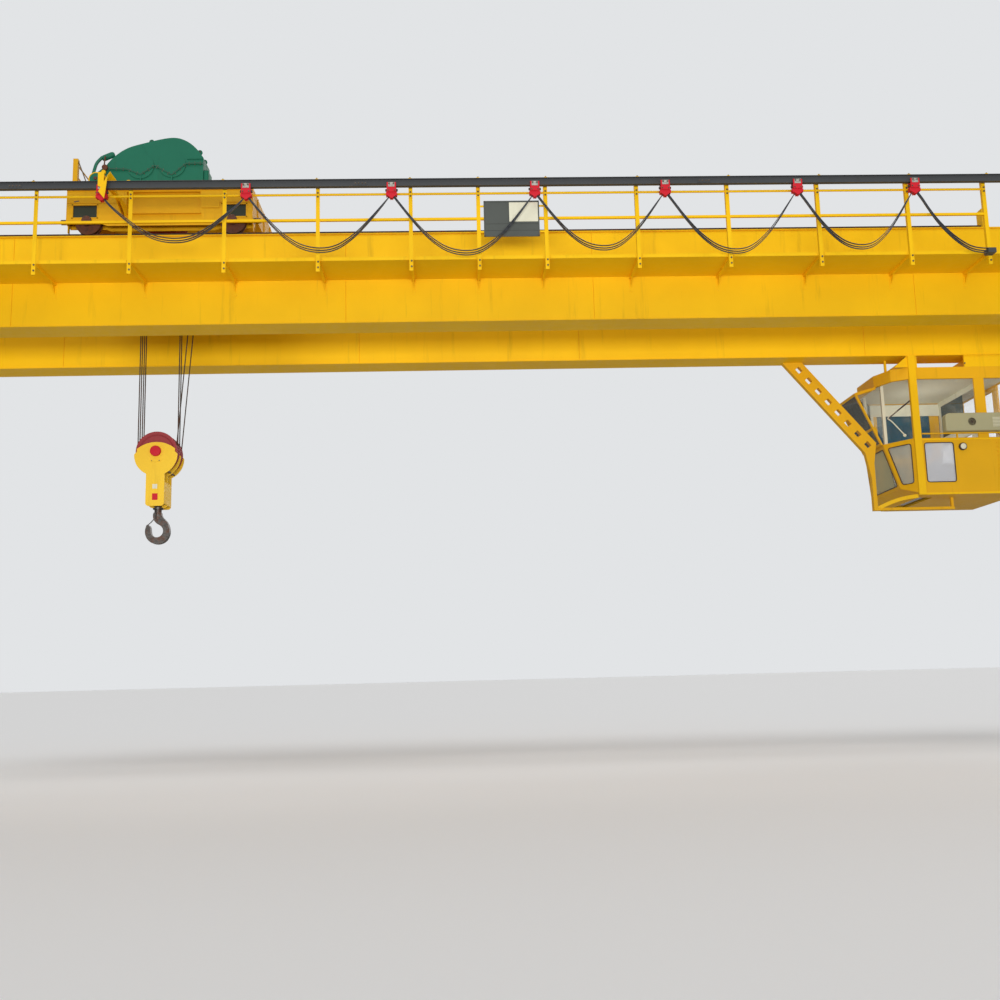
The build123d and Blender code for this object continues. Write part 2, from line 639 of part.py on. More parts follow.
# Festoon track, its arms, and the clamp where the cables end
with BuildPart() as festoon_track:
    with BuildSketch(Plane.YZ.offset(TRACK_LEFT_END)):
        with Locations([(TRACK_Y, TRACK_BOTTOM + TRACK_FLANGE / 2), (TRACK_Y, TRACK_TOP - TRACK_FLANGE / 2)]):
            Rectangle(TRACK_WIDTH, TRACK_FLANGE)
        with Locations([(TRACK_Y, (TRACK_BOTTOM + TRACK_TOP) / 2)]):
            Rectangle(TRACK_WEB, TRACK_HEIGHT - TRACK_FLANGE)
    extrude(amount=TRACK_RIGHT_END - TRACK_LEFT_END)
save(festoon_track, "festoon_track")

with BuildPart() as festoon_arms:
    for station in NEAR_POSTS:
        xy_box(station - ARM_WIDTH / 2, station + ARM_WIDTH / 2, -POST_FACE - ARM_PLATE, -POST_FACE,
               ARM_FOOT, TRACK_TOP + ARM_PLATE)
        xy_box(station - ARM_WIDTH / 2, station + ARM_WIDTH / 2, TRACK_Y - TRACK_WIDTH / 2, -POST_FACE,
               TRACK_TOP, TRACK_TOP + ARM_PLATE)
save(festoon_arms, "festoon_arms")

with BuildPart() as cable_anchor:
    xy_box(ANCHOR_STATION, NEAR_POSTS[-1] + POST_WIDTH / 2, TRACK_Y - SADDLE_HALF_WIDTH, -POST_FACE,
           ANCHOR_HEIGHT - SADDLE_HALF_WIDTH, ANCHOR_HEIGHT + SADDLE_HALF_WIDTH)
save(cable_anchor, "cable_anchor")


def build_carrier(station, name):
    """Four rollers on the track's lower flange carry two side plates, and the saddle below holds the cable."""
    with BuildPart() as carrier:
        plate_in = TRACK_WIDTH / 2 + CARRIER_PLATE_GAP
        plate_out = plate_in + CARRIER_PLATE
        for side in (-1, 1):
            low, high = sorted((TRACK_Y + side * plate_in, TRACK_Y + side * plate_out))
            xy_box(station - CARRIER_HALF_LENGTH, station + CARRIER_HALF_LENGTH, low, high,
                   CARRIER_BLOCK_TOP, CARRIER_TOP)
            wheel_z = TRACK_BOTTOM + TRACK_FLANGE + ROLLER_RADIUS + RUNNING_CLEARANCE
            for roller_x in (station - ROLLER_OFFSET, station + ROLLER_OFFSET):
                roller = Plane(origin=(roller_x, TRACK_Y + side * plate_in, wheel_z),
                               x_dir=(1, 0, 0), z_dir=(0, -side, 0))
                with BuildSketch(roller):
                    Circle(ROLLER_RADIUS)
                extrude(amount=plate_in - ROLLER_INNER)
        xy_box(station - CARRIER_HALF_LENGTH, station + CARRIER_HALF_LENGTH, TRACK_Y - plate_out,
               TRACK_Y + plate_out, SADDLE_TOP, CARRIER_BLOCK_TOP)
        with BuildSketch(xz_at(TRACK_Y + SADDLE_HALF_WIDTH)):
            with BuildLine():
                Polyline([(station - SADDLE_HALF_LENGTH, SADDLE_TOP), (station - SADDLE_HALF_LENGTH, SADDLE_EDGE),
                          (station, SADDLE_BOTTOM), (station + SADDLE_HALF_LENGTH, SADDLE_EDGE),
                          (station + SADDLE_HALF_LENGTH, SADDLE_TOP)], close=True)
            make_face()
        extrude(amount=2 * SADDLE_HALF_WIDTH)
    save(carrier, name)


for number, station in enumerate(CARRIER_STATIONS, start=1):
    build_carrier(station, f"cable_carrier_{number}")
build_carrier(TOW_STATION, "tow_carrier")

# Festoon cables: one hanging loop between each two carriers and a last one to the anchor.
# A loop leaves each saddle square to its sloping face.
EXIT_Z = (SADDLE_BOTTOM + SADDLE_EDGE) / 2
EXIT_X = SADDLE_HALF_LENGTH / 2
EXIT_RUN_X = CABLE_EXIT_RUN * math.sin(math.radians(SADDLE_SLOPE))
EXIT_RUN_Z = CABLE_EXIT_RUN * math.cos(math.radians(SADDLE_SLOPE))


def arc_radii(points):
    """The largest arc that each corner's two runs allow: 0.45 of the shorter run over tan(half the turn)."""
    radii = []
    for before, corner, after in zip(points, points[1:], points[2:]):
        run_in, run_out = Vector(corner) - Vector(before), Vector(after) - Vector(corner)
        turn = math.radians(run_in.get_angle(run_out))
        radii.append(0.45 * min(run_in.length, run_out.length) / math.tan(turn / 2))
    return radii


def loop_points(left, right, bottom):
    """A loop's route between two carriers at these stations, down to this height."""
    start = (left + EXIT_X, EXIT_Z)
    end = (right - EXIT_X, EXIT_Z)
    sag = EXIT_Z - bottom
    route = [start, (start[0] + EXIT_RUN_X, start[1] - EXIT_RUN_Z)]
    route += [(start[0] + across * (end[0] - start[0]), start[1] - down * sag) for across, down in LOOP_SHAPE]
    route += [(end[0] - EXIT_RUN_X, end[1] - EXIT_RUN_Z), end]
    return [(x, TRACK_Y, z) for x, z in route]


stations = [TOW_STATION] + CARRIER_STATIONS
loops = [loop_points(left, right, bottom)
         for left, right, bottom in zip(stations, stations[1:], LOOP_BOTTOMS)]
# The last loop falls from the sixth carrier and ends level in the anchor
LAST_FALL = [(-905, 820), (-775, 610), (-620, 420), (-430, 240), (-200, ANCHOR_HEIGHT), (0, ANCHOR_HEIGHT)]
LAST_LOOP = [(CARRIER_STATIONS[-1] + EXIT_X, EXIT_Z),
             (CARRIER_STATIONS[-1] + EXIT_X + EXIT_RUN_X, EXIT_Z - EXIT_RUN_Z)]
LAST_LOOP += [(ANCHOR_STATION + before, z) for before, z in LAST_FALL]
loops.append([(x, TRACK_Y, z) for x, z in LAST_LOOP])

with BuildPart() as festoon_cables:
    for points in loops:
        radii = arc_radii(points)
        with BuildLine() as route:
            FilletPolyline(*points, radius=radii)
        start_plane = Plane(origin=points[0], z_dir=Vector(points[1]) - Vector(points[0]))
        with BuildSketch(start_plane):
            Circle(CABLE_DIAMETER / 2)
        sweep(path=route.wires()[0])
        length = route.wires()[0].length
        print("cable loop, mm long:", round(length), "radii:", [round(radius) for radius in radii])
save(festoon_cables, "festoon_cables")

# Trolley frame: two hollow side beams over the rails, joined by two end beams
with BuildPart() as trolley_frame:
    for side in (NEAR, FAR):
        outer = side * GIRDER_Y + SIDE_BEAM_WIDTH / 2
        wheel_half = TROLLEY_WHEEL_RADIUS + TROLLEY_FLANGE + 2 * GUARD_DEPTH / 3
        with BuildSketch(xz_at(outer)):
            with BuildLine():
                Polyline([(TROLLEY_LEFT, SIDE_BEAM_TOP), (TROLLEY_RIGHT, SIDE_BEAM_TOP),
                          (TROLLEY_RIGHT, AXLE_Z - GUARD_DEPTH), (AXLE_STATIONS[1] - wheel_half, AXLE_Z - GUARD_DEPTH),
                          (AXLE_STATIONS[1] - wheel_half - BELLY_RUN, SIDE_BEAM_BOTTOM),
                          (AXLE_STATIONS[0] + wheel_half + BELLY_RUN, SIDE_BEAM_BOTTOM),
                          (AXLE_STATIONS[0] + wheel_half, AXLE_Z - GUARD_DEPTH),
                          (TROLLEY_LEFT, AXLE_Z - GUARD_DEPTH)], close=True)
            make_face()
        extrude(amount=SIDE_BEAM_WIDTH)
        cavity = SIDE_BEAM_WIDTH - 2 * SIDE_BEAM_PLATE
        with Locations([(TROLLEY_CENTRE, side * GIRDER_Y, (SIDE_BEAM_TOP - SIDE_BEAM_PLATE + RAIL_TOP) / 2)]):
            Box(2 * (TROLLEY_HALF_LENGTH - SIDE_BEAM_PLATE), cavity, SIDE_BEAM_TOP - SIDE_BEAM_PLATE - RAIL_TOP,
                mode=Mode.SUBTRACT)
        for window_x in (TROLLEY_LEFT + WINDOW_EDGE + WINDOW_WIDTH / 2, TROLLEY_RIGHT - WINDOW_EDGE - WINDOW_WIDTH / 2):
            with Locations([(window_x, side * GIRDER_Y, (WINDOW_BOTTOM + WINDOW_TOP) / 2)]):
                Box(WINDOW_WIDTH, 2 * SIDE_BEAM_WIDTH, WINDOW_TOP - WINDOW_BOTTOM, mode=Mode.SUBTRACT)
        for axle_x in AXLE_STATIONS:
            with BuildSketch(xz_at(outer + SIDE_BEAM_WIDTH)):
                with Locations([(axle_x, AXLE_Z)]):
                    Circle(TROLLEY_AXLE_RADIUS + RUNNING_CLEARANCE)
            extrude(amount=3 * SIDE_BEAM_WIDTH, mode=Mode.SUBTRACT)
        # A recessed panel between the wheels, closed at the back and round its rim
        face = side * (GIRDER_Y + SIDE_BEAM_WIDTH / 2)
        pocket = sorted((face, face - side * RECESS_DEPTH))
        panel = sorted((face - side * RECESS_DEPTH, face - side * (RECESS_DEPTH + SIDE_BEAM_PLATE)))
        rim = SIDE_BEAM_PLATE
        xy_box(RECESS_LEFT - rim, RECESS_RIGHT + rim, min(pocket + panel), max(pocket + panel), RECESS_BOTTOM - rim,
               RECESS_TOP + rim)
        with Locations([((RECESS_LEFT + RECESS_RIGHT) / 2, face, (RECESS_BOTTOM + RECESS_TOP) / 2)]):
            Box(RECESS_RIGHT - RECESS_LEFT, 2 * RECESS_DEPTH, RECESS_TOP - RECESS_BOTTOM, mode=Mode.SUBTRACT)
        # Plates that sweep the rail in front of the outer wheels
        sweep = (side * GIRDER_Y - RAIL_HEAD_WIDTH / 2, side * GIRDER_Y + RAIL_HEAD_WIDTH / 2)
        for plate_x in (TROLLEY_LEFT, TROLLEY_RIGHT - SWEEP_PLATE):
            xy_box(plate_x, plate_x + SWEEP_PLATE, sweep[0], sweep[1], RAIL_TOP + SWEEP_RISE, AXLE_Z)
            xy_box(plate_x, plate_x + SWEEP_PLATE, side * GIRDER_Y - SIDE_BEAM_WIDTH / 2,
                   side * GIRDER_Y + SIDE_BEAM_WIDTH / 2, AXLE_Z - GUARD_DEPTH, AXLE_Z)
    beam_half = GIRDER_Y - SIDE_BEAM_WIDTH / 2
    for beam_x in (TROLLEY_LEFT + END_BEAM_WIDTH / 2, TROLLEY_RIGHT - END_BEAM_WIDTH / 2):
        xy_box(beam_x - END_BEAM_WIDTH / 2, beam_x + END_BEAM_WIDTH / 2, -beam_half, beam_half,
               SIDE_BEAM_TOP - END_BEAM_DEPTH, SIDE_BEAM_TOP)
save(trolley_frame, "trolley_frame")

with BuildPart() as trolley_deck:
    xy_box(TROLLEY_LEFT, TROLLEY_RIGHT, -GIRDER_Y - SIDE_BEAM_WIDTH / 2, GIRDER_Y + SIDE_BEAM_WIDTH / 2,
           SIDE_BEAM_TOP, DECK_TOP)
    with Locations([((DRUM_X + UPPER_SHEAVE_X) / 2, 0, DECK_TOP)]):
        Box(2 * ROPE_GAP_HALF_LENGTH, 2 * ROPE_GAP_HALF_WIDTH, 4 * DECK_THICKNESS, mode=Mode.SUBTRACT)
save(trolley_deck, "trolley_deck")


# Trolley wheels: a pair on each axle, with flanges on both sides of the rail head
def build_wheelset(axle_x, name):
    with BuildPart() as wheelset:
        axle_end = GIRDER_Y + SIDE_BEAM_WIDTH / 2 + 30
        axle = Plane(origin=(axle_x, -axle_end, AXLE_Z), x_dir=(1, 0, 0), z_dir=(0, 1, 0))
        with BuildSketch(axle):
            Circle(TROLLEY_AXLE_RADIUS)
        extrude(amount=2 * axle_end)
        for side in (NEAR, FAR):
            half_width = TROLLEY_WHEEL_WIDTH / 2
            inner = side * GIRDER_Y + axle_end - half_width
            with BuildSketch(axle.offset(inner)):
                Circle(TROLLEY_WHEEL_RADIUS)
            extrude(amount=TROLLEY_WHEEL_WIDTH)
            for flange_at in (inner, inner + TROLLEY_WHEEL_WIDTH - TROLLEY_FLANGE_WIDTH):
                with BuildSketch(axle.offset(flange_at)):
                    Circle(TROLLEY_WHEEL_RADIUS + TROLLEY_FLANGE)
                extrude(amount=TROLLEY_FLANGE_WIDTH)
    save(wheelset, name)


for axle_x, wheelset_name in zip(AXLE_STATIONS, ("left_wheelset", "right_wheelset")):
    build_wheelset(axle_x, wheelset_name)

with BuildPart() as trolley_buffers:
    for side in (NEAR, FAR):
        for face, outward in ((TROLLEY_LEFT, -1), (TROLLEY_RIGHT, 1)):
            with BuildSketch(Plane(origin=(face, side * GIRDER_Y, GIRDER_TOP + STOP_HEIGHT - BUFFER_DROP),
                                   x_dir=(0, 1, 0), z_dir=(outward, 0, 0))):
                Circle(TROLLEY_BUFFER_RADIUS)
            extrude(amount=TROLLEY_BUFFER_LENGTH)
save(trolley_buffers, "trolley_buffers")

with BuildPart() as trolley_drive:
    drive_x = AXLE_STATIONS[1]
    xy_box(drive_x - 360, drive_x + 100, 160, 360, AXLE_Z - 110, SIDE_BEAM_TOP - END_BEAM_DEPTH - 20)
    with BuildSketch(Plane(origin=(drive_x - 250, 160, AXLE_Z), x_dir=(1, 0, 0), z_dir=(0, -1, 0))):
        Circle(95)
    extrude(amount=330)
    with BuildSketch(xz_at(400)):
        with Locations([(drive_x, AXLE_Z)]):
            Circle(TROLLEY_AXLE_RADIUS + RUNNING_CLEARANCE)
    extrude(amount=300, mode=Mode.SUBTRACT)
save(trolley_drive, "trolley_drive")

# Gear reducer: split housing with a humped outline, a stepped joint flange and bearing bosses
with BuildPart() as gear_reducer:
    with BuildSketch(xz_at(GEAR_FAR)):
        with BuildLine():
            base = Polyline([(GEAR_RIGHT, GEAR_SHOULDER), (GEAR_RIGHT, DECK_TOP), (GEAR_TAIL, DECK_TOP),
                             (GEAR_TAIL, GEAR_TAIL_TOP), (GEAR_LEFT, GEAR_LEFT_TOP)])
            Spline([base @ 1] + GEAR_HUMP + [base @ 0])
        make_face()
    extrude(amount=GEAR_WIDTH)
    xy_box(GEAR_TAIL - GEAR_FOOT_REACH, GEAR_RIGHT + GEAR_FOOT_REACH, GEAR_NEAR - GEAR_FOOT_REACH, GEAR_FAR,
           DECK_TOP, DECK_TOP + GEAR_FOOT)
    with BuildSketch(xz_at(GEAR_FAR + JOINT_RIM)):
        with BuildLine():
            Polyline(JOINT_LINE + [(x, z - JOINT_PLATE) for x, z in JOINT_LINE[::-1]], close=True)
        make_face()
    extrude(amount=GEAR_WIDTH + 2 * JOINT_RIM)
    for boss in BOSSES:
        with BuildSketch(xz_at(GEAR_FAR + BOSS_RISE)):
            with Locations([boss]):
                Circle(BOSS_RADIUS)
        extrude(amount=GEAR_WIDTH + 2 * BOSS_RISE)
    with BuildSketch(xz_at(GEAR_FAR)):
        with Locations([(INPUT_X, INPUT_Z)]):
            Circle(INPUT_BOSS_RADIUS)
    extrude(amount=GEAR_WIDTH + INPUT_BOSS_RISE)
    for rib_x, rib_top in GEAR_RIBS:
        xy_box(rib_x - GEAR_RIB / 2, rib_x + GEAR_RIB / 2, GEAR_NEAR - GEAR_RIB_RISE, GEAR_NEAR, DECK_TOP, rib_top)
    # Inspection cover on the hump's left slope
    cover_run = Vector(COVER_ENDS[1][0] - COVER_ENDS[0][0], 0, COVER_ENDS[1][1] - COVER_ENDS[0][1])
    cover_out = Vector(-cover_run.Z, 0, cover_run.X).normalized() * COVER_RISE
    with BuildSketch(xz_at(GEAR_FAR - GEAR_WIDTH / 6)):
        with BuildLine():
            Polyline([(x + cover_out.X * part, z + cover_out.Z * part)
                      for (x, z), part in ((COVER_ENDS[0], -3), (COVER_ENDS[0], 1), (COVER_ENDS[1], 1),
                                           (COVER_ENDS[1], -3))], close=True)
        make_face()
    extrude(amount=GEAR_WIDTH * 2 / 3)
save(gear_reducer, "gear_reducer")

with BuildPart() as hoist_motor:
    shaft = Plane(origin=(INPUT_X, MOTOR_NEAR, INPUT_Z), x_dir=(1, 0, 0), z_dir=(0, 1, 0))
    with BuildSketch(shaft):
        Circle(MOTOR_RADIUS)
    extrude(amount=MOTOR_LENGTH)
    xy_box(INPUT_X - MOTOR_FOOT_HALF, INPUT_X + MOTOR_FOOT_HALF, MOTOR_FOOT_NEAR, MOTOR_FOOT_FAR, DECK_TOP,
           INPUT_Z - MOTOR_RADIUS / 2)
save(hoist_motor, "hoist_motor")

with BuildPart() as hoist_brake:
    brake_shaft = Plane(origin=(INPUT_X, GEAR_FAR, INPUT_Z), x_dir=(1, 0, 0), z_dir=(0, 1, 0))
    with BuildSketch(brake_shaft):
        Circle(40)
    extrude(amount=MOTOR_NEAR - GEAR_FAR)
    with BuildSketch(brake_shaft.offset(60)):
        Circle(160)
    extrude(amount=90)
    xy_box(INPUT_X - 210, INPUT_X + 210, -500, -440, DECK_TOP, DECK_TOP + 60)
    for jaw in (-210, 170):
        xy_box(INPUT_X + jaw, INPUT_X + jaw + 40, -500, -440, DECK_TOP + 60, INPUT_Z + 330)
    xy_box(INPUT_X - 170, INPUT_X + 170, -500, -440, INPUT_Z + 290, INPUT_Z + 330)
save(hoist_brake, "hoist_brake")

with BuildPart() as hoist_drum:
    drum_axis = Plane(origin=(DRUM_X, DRUM_NEAR_END, DRUM_Z), x_dir=(1, 0, 0), z_dir=(0, 1, 0))
    with BuildSketch(drum_axis):
        Circle(DRUM_RADIUS)
    extrude(amount=DRUM_LENGTH)
    for flange_at in (0, DRUM_LENGTH - 30):
        with BuildSketch(drum_axis.offset(flange_at)):
            Circle(DRUM_RADIUS + 45)
        extrude(amount=30)
    with BuildSketch(drum_axis.offset(-95)):
        Circle(80)
    extrude(amount=DRUM_LENGTH + 215)
    bearing_y = DRUM_NEAR_END + DRUM_LENGTH
    xy_box(DRUM_X - 220, DRUM_X + 220, bearing_y + 20, bearing_y + 120, DECK_TOP, DRUM_Z + 110)
save(hoist_drum, "hoist_drum")


def sheave_profile(station):
    """Half section of a rope sheave: place along its axle, distance from it."""
    half = SHEAVE_WIDTH / 2
    bore = SHEAVE_AXLE_RADIUS + SHAFT_CLEARANCE
    return [(station - half, bore), (station - half, 110), (station - 14, 130), (station - 14, 285),
            (station - half, 310), (station - half, SHEAVE_RADIUS), (station - ROPE_RADIUS - 6, SHEAVE_RADIUS),
            (station - ROPE_RADIUS - 1, GROOVE_RADIUS), (station + ROPE_RADIUS + 1, GROOVE_RADIUS),
            (station + ROPE_RADIUS + 6, SHEAVE_RADIUS), (station + half, SHEAVE_RADIUS), (station + half, 310),
            (station + 14, 285), (station + 14, 130), (station + half, 110), (station + half, bore)]


def turn_sheave(centre_x, centre_z, station):
    """Adds one sheave to the open part. Its axle runs along Y."""
    axle = Plane(origin=(centre_x, 0, centre_z), x_dir=(0, 1, 0), z_dir=(-1, 0, 0))
    with BuildSketch(axle) as section:
        with BuildLine():
            Polyline(sheave_profile(station), close=True)
        make_face()
    revolve(section.sketch, axis=Axis((centre_x, 0, centre_z), (0, 1, 0)))


with BuildPart() as upper_sheaves:
    for station in SHEAVE_STATIONS:
        turn_sheave(UPPER_SHEAVE_X, UPPER_SHEAVE_Z, station)
    with BuildSketch(Plane(origin=(UPPER_SHEAVE_X, -330, UPPER_SHEAVE_Z), x_dir=(1, 0, 0), z_dir=(0, 1, 0))):
        Circle(SHEAVE_AXLE_RADIUS)
    extrude(amount=660)
save(upper_sheaves, "upper_sheaves")

with BuildPart() as sheave_stands:
    for stand in (-330, 290):
        xy_box(UPPER_SHEAVE_X - 80, UPPER_SHEAVE_X + 80, stand, stand + 40, UPPER_SHEAVE_Z - 110, DECK_TOP)
    for end in (-1, 1):
        low, high = sorted((end * 290, end * (ROPE_GAP_HALF_WIDTH + 60)))
        xy_box(UPPER_SHEAVE_X - 80, UPPER_SHEAVE_X + 80, low, high, DECK_TOP, DECK_TOP + 60)
    with BuildSketch(xz_at(400)):
        with Locations([(UPPER_SHEAVE_X, UPPER_SHEAVE_Z)]):
            Circle(SHEAVE_AXLE_RADIUS)
    extrude(amount=800, mode=Mode.SUBTRACT)
save(sheave_stands, "sheave_stands")

# Hook block: cheek plates round the sheaves, and a stem that holds the hook's shank
with BuildPart() as hook_block:
    for cheek_y in CHEEK_STATIONS:
        with BuildSketch(xz_at(cheek_y + CHEEK_PLATE / 2)) as cheek:
            with Locations([(BLOCK_X, BLOCK_Z - CHEEK_DROP)]):
                Circle(CHEEK_RADIUS)
            with Locations([(BLOCK_X, (BLOCK_Z + STEM_BOTTOM) / 2)]):
                Rectangle(STEM_WIDTH, BLOCK_Z - STEM_BOTTOM)
            with Locations([(BLOCK_X, BLOCK_Z + CHEEK_TOP_RISE - CHEEK_CUT_RADIUS)]):
                Circle(CHEEK_CUT_RADIUS, mode=Mode.INTERSECT)
            with Locations([(BLOCK_X, (BLOCK_Z + STEM_BOTTOM) / 2 - STEM_NECK)]):
                Rectangle(STEM_WIDTH, BLOCK_Z - STEM_BOTTOM - 2 * STEM_NECK)
            fillet(cheek.vertices().group_by(Axis.Y)[0], radius=STEM_ROUND)
        extrude(amount=CHEEK_PLATE)
    xy_box(BLOCK_X - STEM_WIDTH / 2, BLOCK_X + STEM_WIDTH / 2, CHEEK_STATIONS[0], CHEEK_STATIONS[-1],
           STEM_BOTTOM + STEM_BLOCK_RISE, STEM_BLOCK_TOP)
    with BuildSketch(xz_at(CHEEK_STATIONS[-1] + AXLE_OVERHANG)):
        with Locations([(BLOCK_X, BLOCK_Z)]):
            Circle(SHEAVE_AXLE_RADIUS)
    extrude(amount=2 * (CHEEK_STATIONS[-1] + AXLE_OVERHANG))
    with BuildSketch(Plane(origin=(BLOCK_X, 0, STEM_BOTTOM), x_dir=(1, 0, 0), z_dir=(0, 0, 1))):
        Circle(HOOK_SHANK_RADIUS + SHAFT_CLEARANCE)
    extrude(amount=SHANK_BORE, mode=Mode.SUBTRACT)
save(hook_block, "hook_block")

for number, station in enumerate(SHEAVE_STATIONS, start=1):
    with BuildPart() as block_sheave:
        turn_sheave(BLOCK_X, BLOCK_Z, station)
    save(block_sheave, f"block_sheave_{number}")

# Crane hook: a thick back and bowl that thin towards the tip, under a round shank
HOOK_BACK = [(90, 250), (165, 165), (212, 50), (208, -70), (140, -180), (20, -225), (-100, -195), (-178, -110),
             (-205, 0), (-190, 80)]
HOOK_INSIDE = [(-160, 118), (-128, 92), (-112, 20), (-92, -58), (-30, -104), (45, -97), (100, -40), (105, 30),
               (60, 95), (-10, 140), (-58, 205)]
with BuildPart() as crane_hook:
    with BuildSketch(xz_at(HOOK_THICKNESS / 2)) as hook_side:
        with BuildLine():
            shoulder = Line((BLOCK_X - HOOK_SHANK_RADIUS, HOOK_Z + HOOK_NECK), (BLOCK_X + HOOK_SHANK_RADIUS, HOOK_Z + HOOK_NECK))
            back = Spline([shoulder @ 1] + [(BLOCK_X + x, HOOK_Z + z) for x, z in HOOK_BACK])
            Spline([back @ 1] + [(BLOCK_X + x, HOOK_Z + z) for x, z in HOOK_INSIDE] + [shoulder @ 0])
        make_face()
    extrude(hook_side.sketch, amount=HOOK_THICKNESS)
    with BuildSketch(Plane(origin=(BLOCK_X, 0, HOOK_Z + HOOK_NECK - HOOK_THICKNESS), x_dir=(1, 0, 0),
                           z_dir=(0, 0, 1))) as shank:
        Circle(HOOK_SHANK_RADIUS)
    extrude(shank.sketch, amount=HOOK_CENTRE_DROP - HOOK_NECK + HOOK_THICKNESS + SHANK_BORE - AXLE_OVERHANG)
save(crane_hook, "crane_hook")


# Hoist ropes: eight straight falls, each tangent to a block sheave and to the drum or an upper sheave
def fall_ends(top_x, top_z, top_radius, side, station):
    """Ends of a fall that leaves both wheels on this side: the line that touches both circles."""
    low_radius = GROOVE_RADIUS + ROPE_RADIUS + ROPE_SEAT
    rise = Vector(top_x - BLOCK_X, 0, top_z - BLOCK_Z)
    lean = math.atan2(rise.X, rise.Z) + side * math.asin((top_radius - low_radius) / rise.length)
    across = Vector(side * math.cos(lean), 0, -side * math.sin(lean))
    low = Vector(BLOCK_X, station, BLOCK_Z) + across * low_radius
    high = Vector(top_x, station, top_z) + across * top_radius
    return low, high


UPPER_GROOVE = GROOVE_RADIUS + ROPE_RADIUS + ROPE_SEAT
DRUM_GROOVE = DRUM_RADIUS + ROPE_RADIUS + ROPE_SEAT
falls = []
for station in SHEAVE_STATIONS:
    falls.append(fall_ends(UPPER_SHEAVE_X, UPPER_SHEAVE_Z, UPPER_GROOVE, -1, station))
    if abs(station) > 100:
        falls.append(fall_ends(DRUM_X, DRUM_Z, DRUM_GROOVE, 1, station))
    else:
        falls.append(fall_ends(UPPER_SHEAVE_X, UPPER_SHEAVE_Z, UPPER_GROOVE, 1, station))
with BuildPart() as hoist_ropes:
    for low, high in falls:
        with BuildSketch(Plane(origin=low, x_dir=(0, 1, 0), z_dir=high - low)):
            Circle(ROPE_RADIUS)
        extrude(amount=(high - low).length)
save(hoist_ropes, "hoist_ropes")

# Trolley handrail across its left end, and the arm that tows the cables on its wedge-shaped bracket
TROLLEY_FACE = -GIRDER_Y - SIDE_BEAM_WIDTH / 2
with BuildPart() as trolley_handrail:
    rail_x = TROLLEY_LEFT + TROLLEY_POST_INSET + TROLLEY_POST / 2
    rail_half = -TROLLEY_FACE - TROLLEY_POST_INSET
    for post_y in (-rail_half, -TROLLEY_POST / 2, rail_half - TROLLEY_POST):
        xy_box(rail_x - TROLLEY_POST / 2, rail_x + TROLLEY_POST / 2, post_y, post_y + TROLLEY_POST, DECK_TOP,
               DECK_TOP + TROLLEY_RAIL_RISE)
    for height in (TROLLEY_RAIL_RISE / 2, TROLLEY_RAIL_RISE - TROLLEY_POST):
        xy_box(rail_x - TROLLEY_CHAIN_BAR / 2, rail_x + TROLLEY_CHAIN_BAR / 2, -rail_half, rail_half,
               DECK_TOP + height, DECK_TOP + height + TROLLEY_CHAIN_BAR)
save(trolley_handrail, "trolley_handrail")

with BuildPart() as tow_arm:
    tow_left, tow_right = TOW_STATION - TOW_HALF_WIDTH, TOW_STATION + TOW_HALF_WIDTH
    xy_box(tow_left, tow_right, TRACK_Y - TOW_REACH, TROLLEY_FACE, TOW_TOP - TOW_DEPTH, TOW_TOP)
    xy_box(tow_left, tow_right, TRACK_Y - TOW_REACH, TRACK_Y - TOW_REACH + TOW_FINGER, TOW_BOTTOM, TOW_TOP - TOW_DEPTH)
    for plate_x in (tow_left, tow_right - TOW_WEDGE_PLATE):
        with BuildSketch(Plane.YZ.offset(plate_x)) as wedge:
            with BuildLine():
                Polyline([(TROLLEY_FACE, TOW_TOP - TOW_DEPTH), (TROLLEY_FACE, TOW_TOP - TOW_DEPTH - TOW_WEDGE_DROP),
                          (TROLLEY_FACE - TOW_WEDGE_RUN, TOW_TOP - TOW_DEPTH)], close=True)
            make_face()
        extrude(wedge.sketch, amount=TOW_WEDGE_PLATE)
save(tow_arm, "tow_arm")

# Cabin under the far girder: the front looks along -X, and its two front corners are cut off.
# Below the belt the front leans back to a chin, above it a windshield leans out under a visor.
BODY_PLAN = [(CABIN_SIDE_FRONT, CABIN_NEAR), (CABIN_REAR, CABIN_NEAR), (CABIN_REAR, CABIN_FAR),
             (CABIN_SIDE_FRONT, CABIN_FAR), (CABIN_FRONT, CABIN_MIDDLE + FRONT_HALF),
             (CABIN_FRONT, CABIN_MIDDLE - FRONT_HALF)]
ROOF_PLAN = [(CABIN_SIDE_FRONT, CABIN_NEAR), (CABIN_REAR, CABIN_NEAR), (CABIN_REAR, CABIN_FAR),
             (CABIN_SIDE_FRONT, CABIN_FAR), (ROOF_SHOULDER, CABIN_FAR - ROOF_SHOULDER_INSET),
             (ROOF_FRONT, CABIN_MIDDLE + ROOF_FRONT_HALF), (ROOF_FRONT, CABIN_MIDDLE - ROOF_FRONT_HALF),
             (ROOF_SHOULDER, CABIN_NEAR + ROOF_SHOULDER_INSET)]


def side_profile(top):
    """The body's side view: the front leans back from this height to the chin, and the chin to the floor."""
    lean = (CHIN_FRONT - CABIN_FRONT) / (CABIN_BELT - CHIN_TOP)
    return [(CABIN_FRONT - (top - CABIN_BELT) * lean, top), (CABIN_REAR, top), (CABIN_REAR, CABIN_FLOOR),
            (FLOOR_FRONT, CABIN_FLOOR), (CHIN_FRONT, CHIN_TOP)]


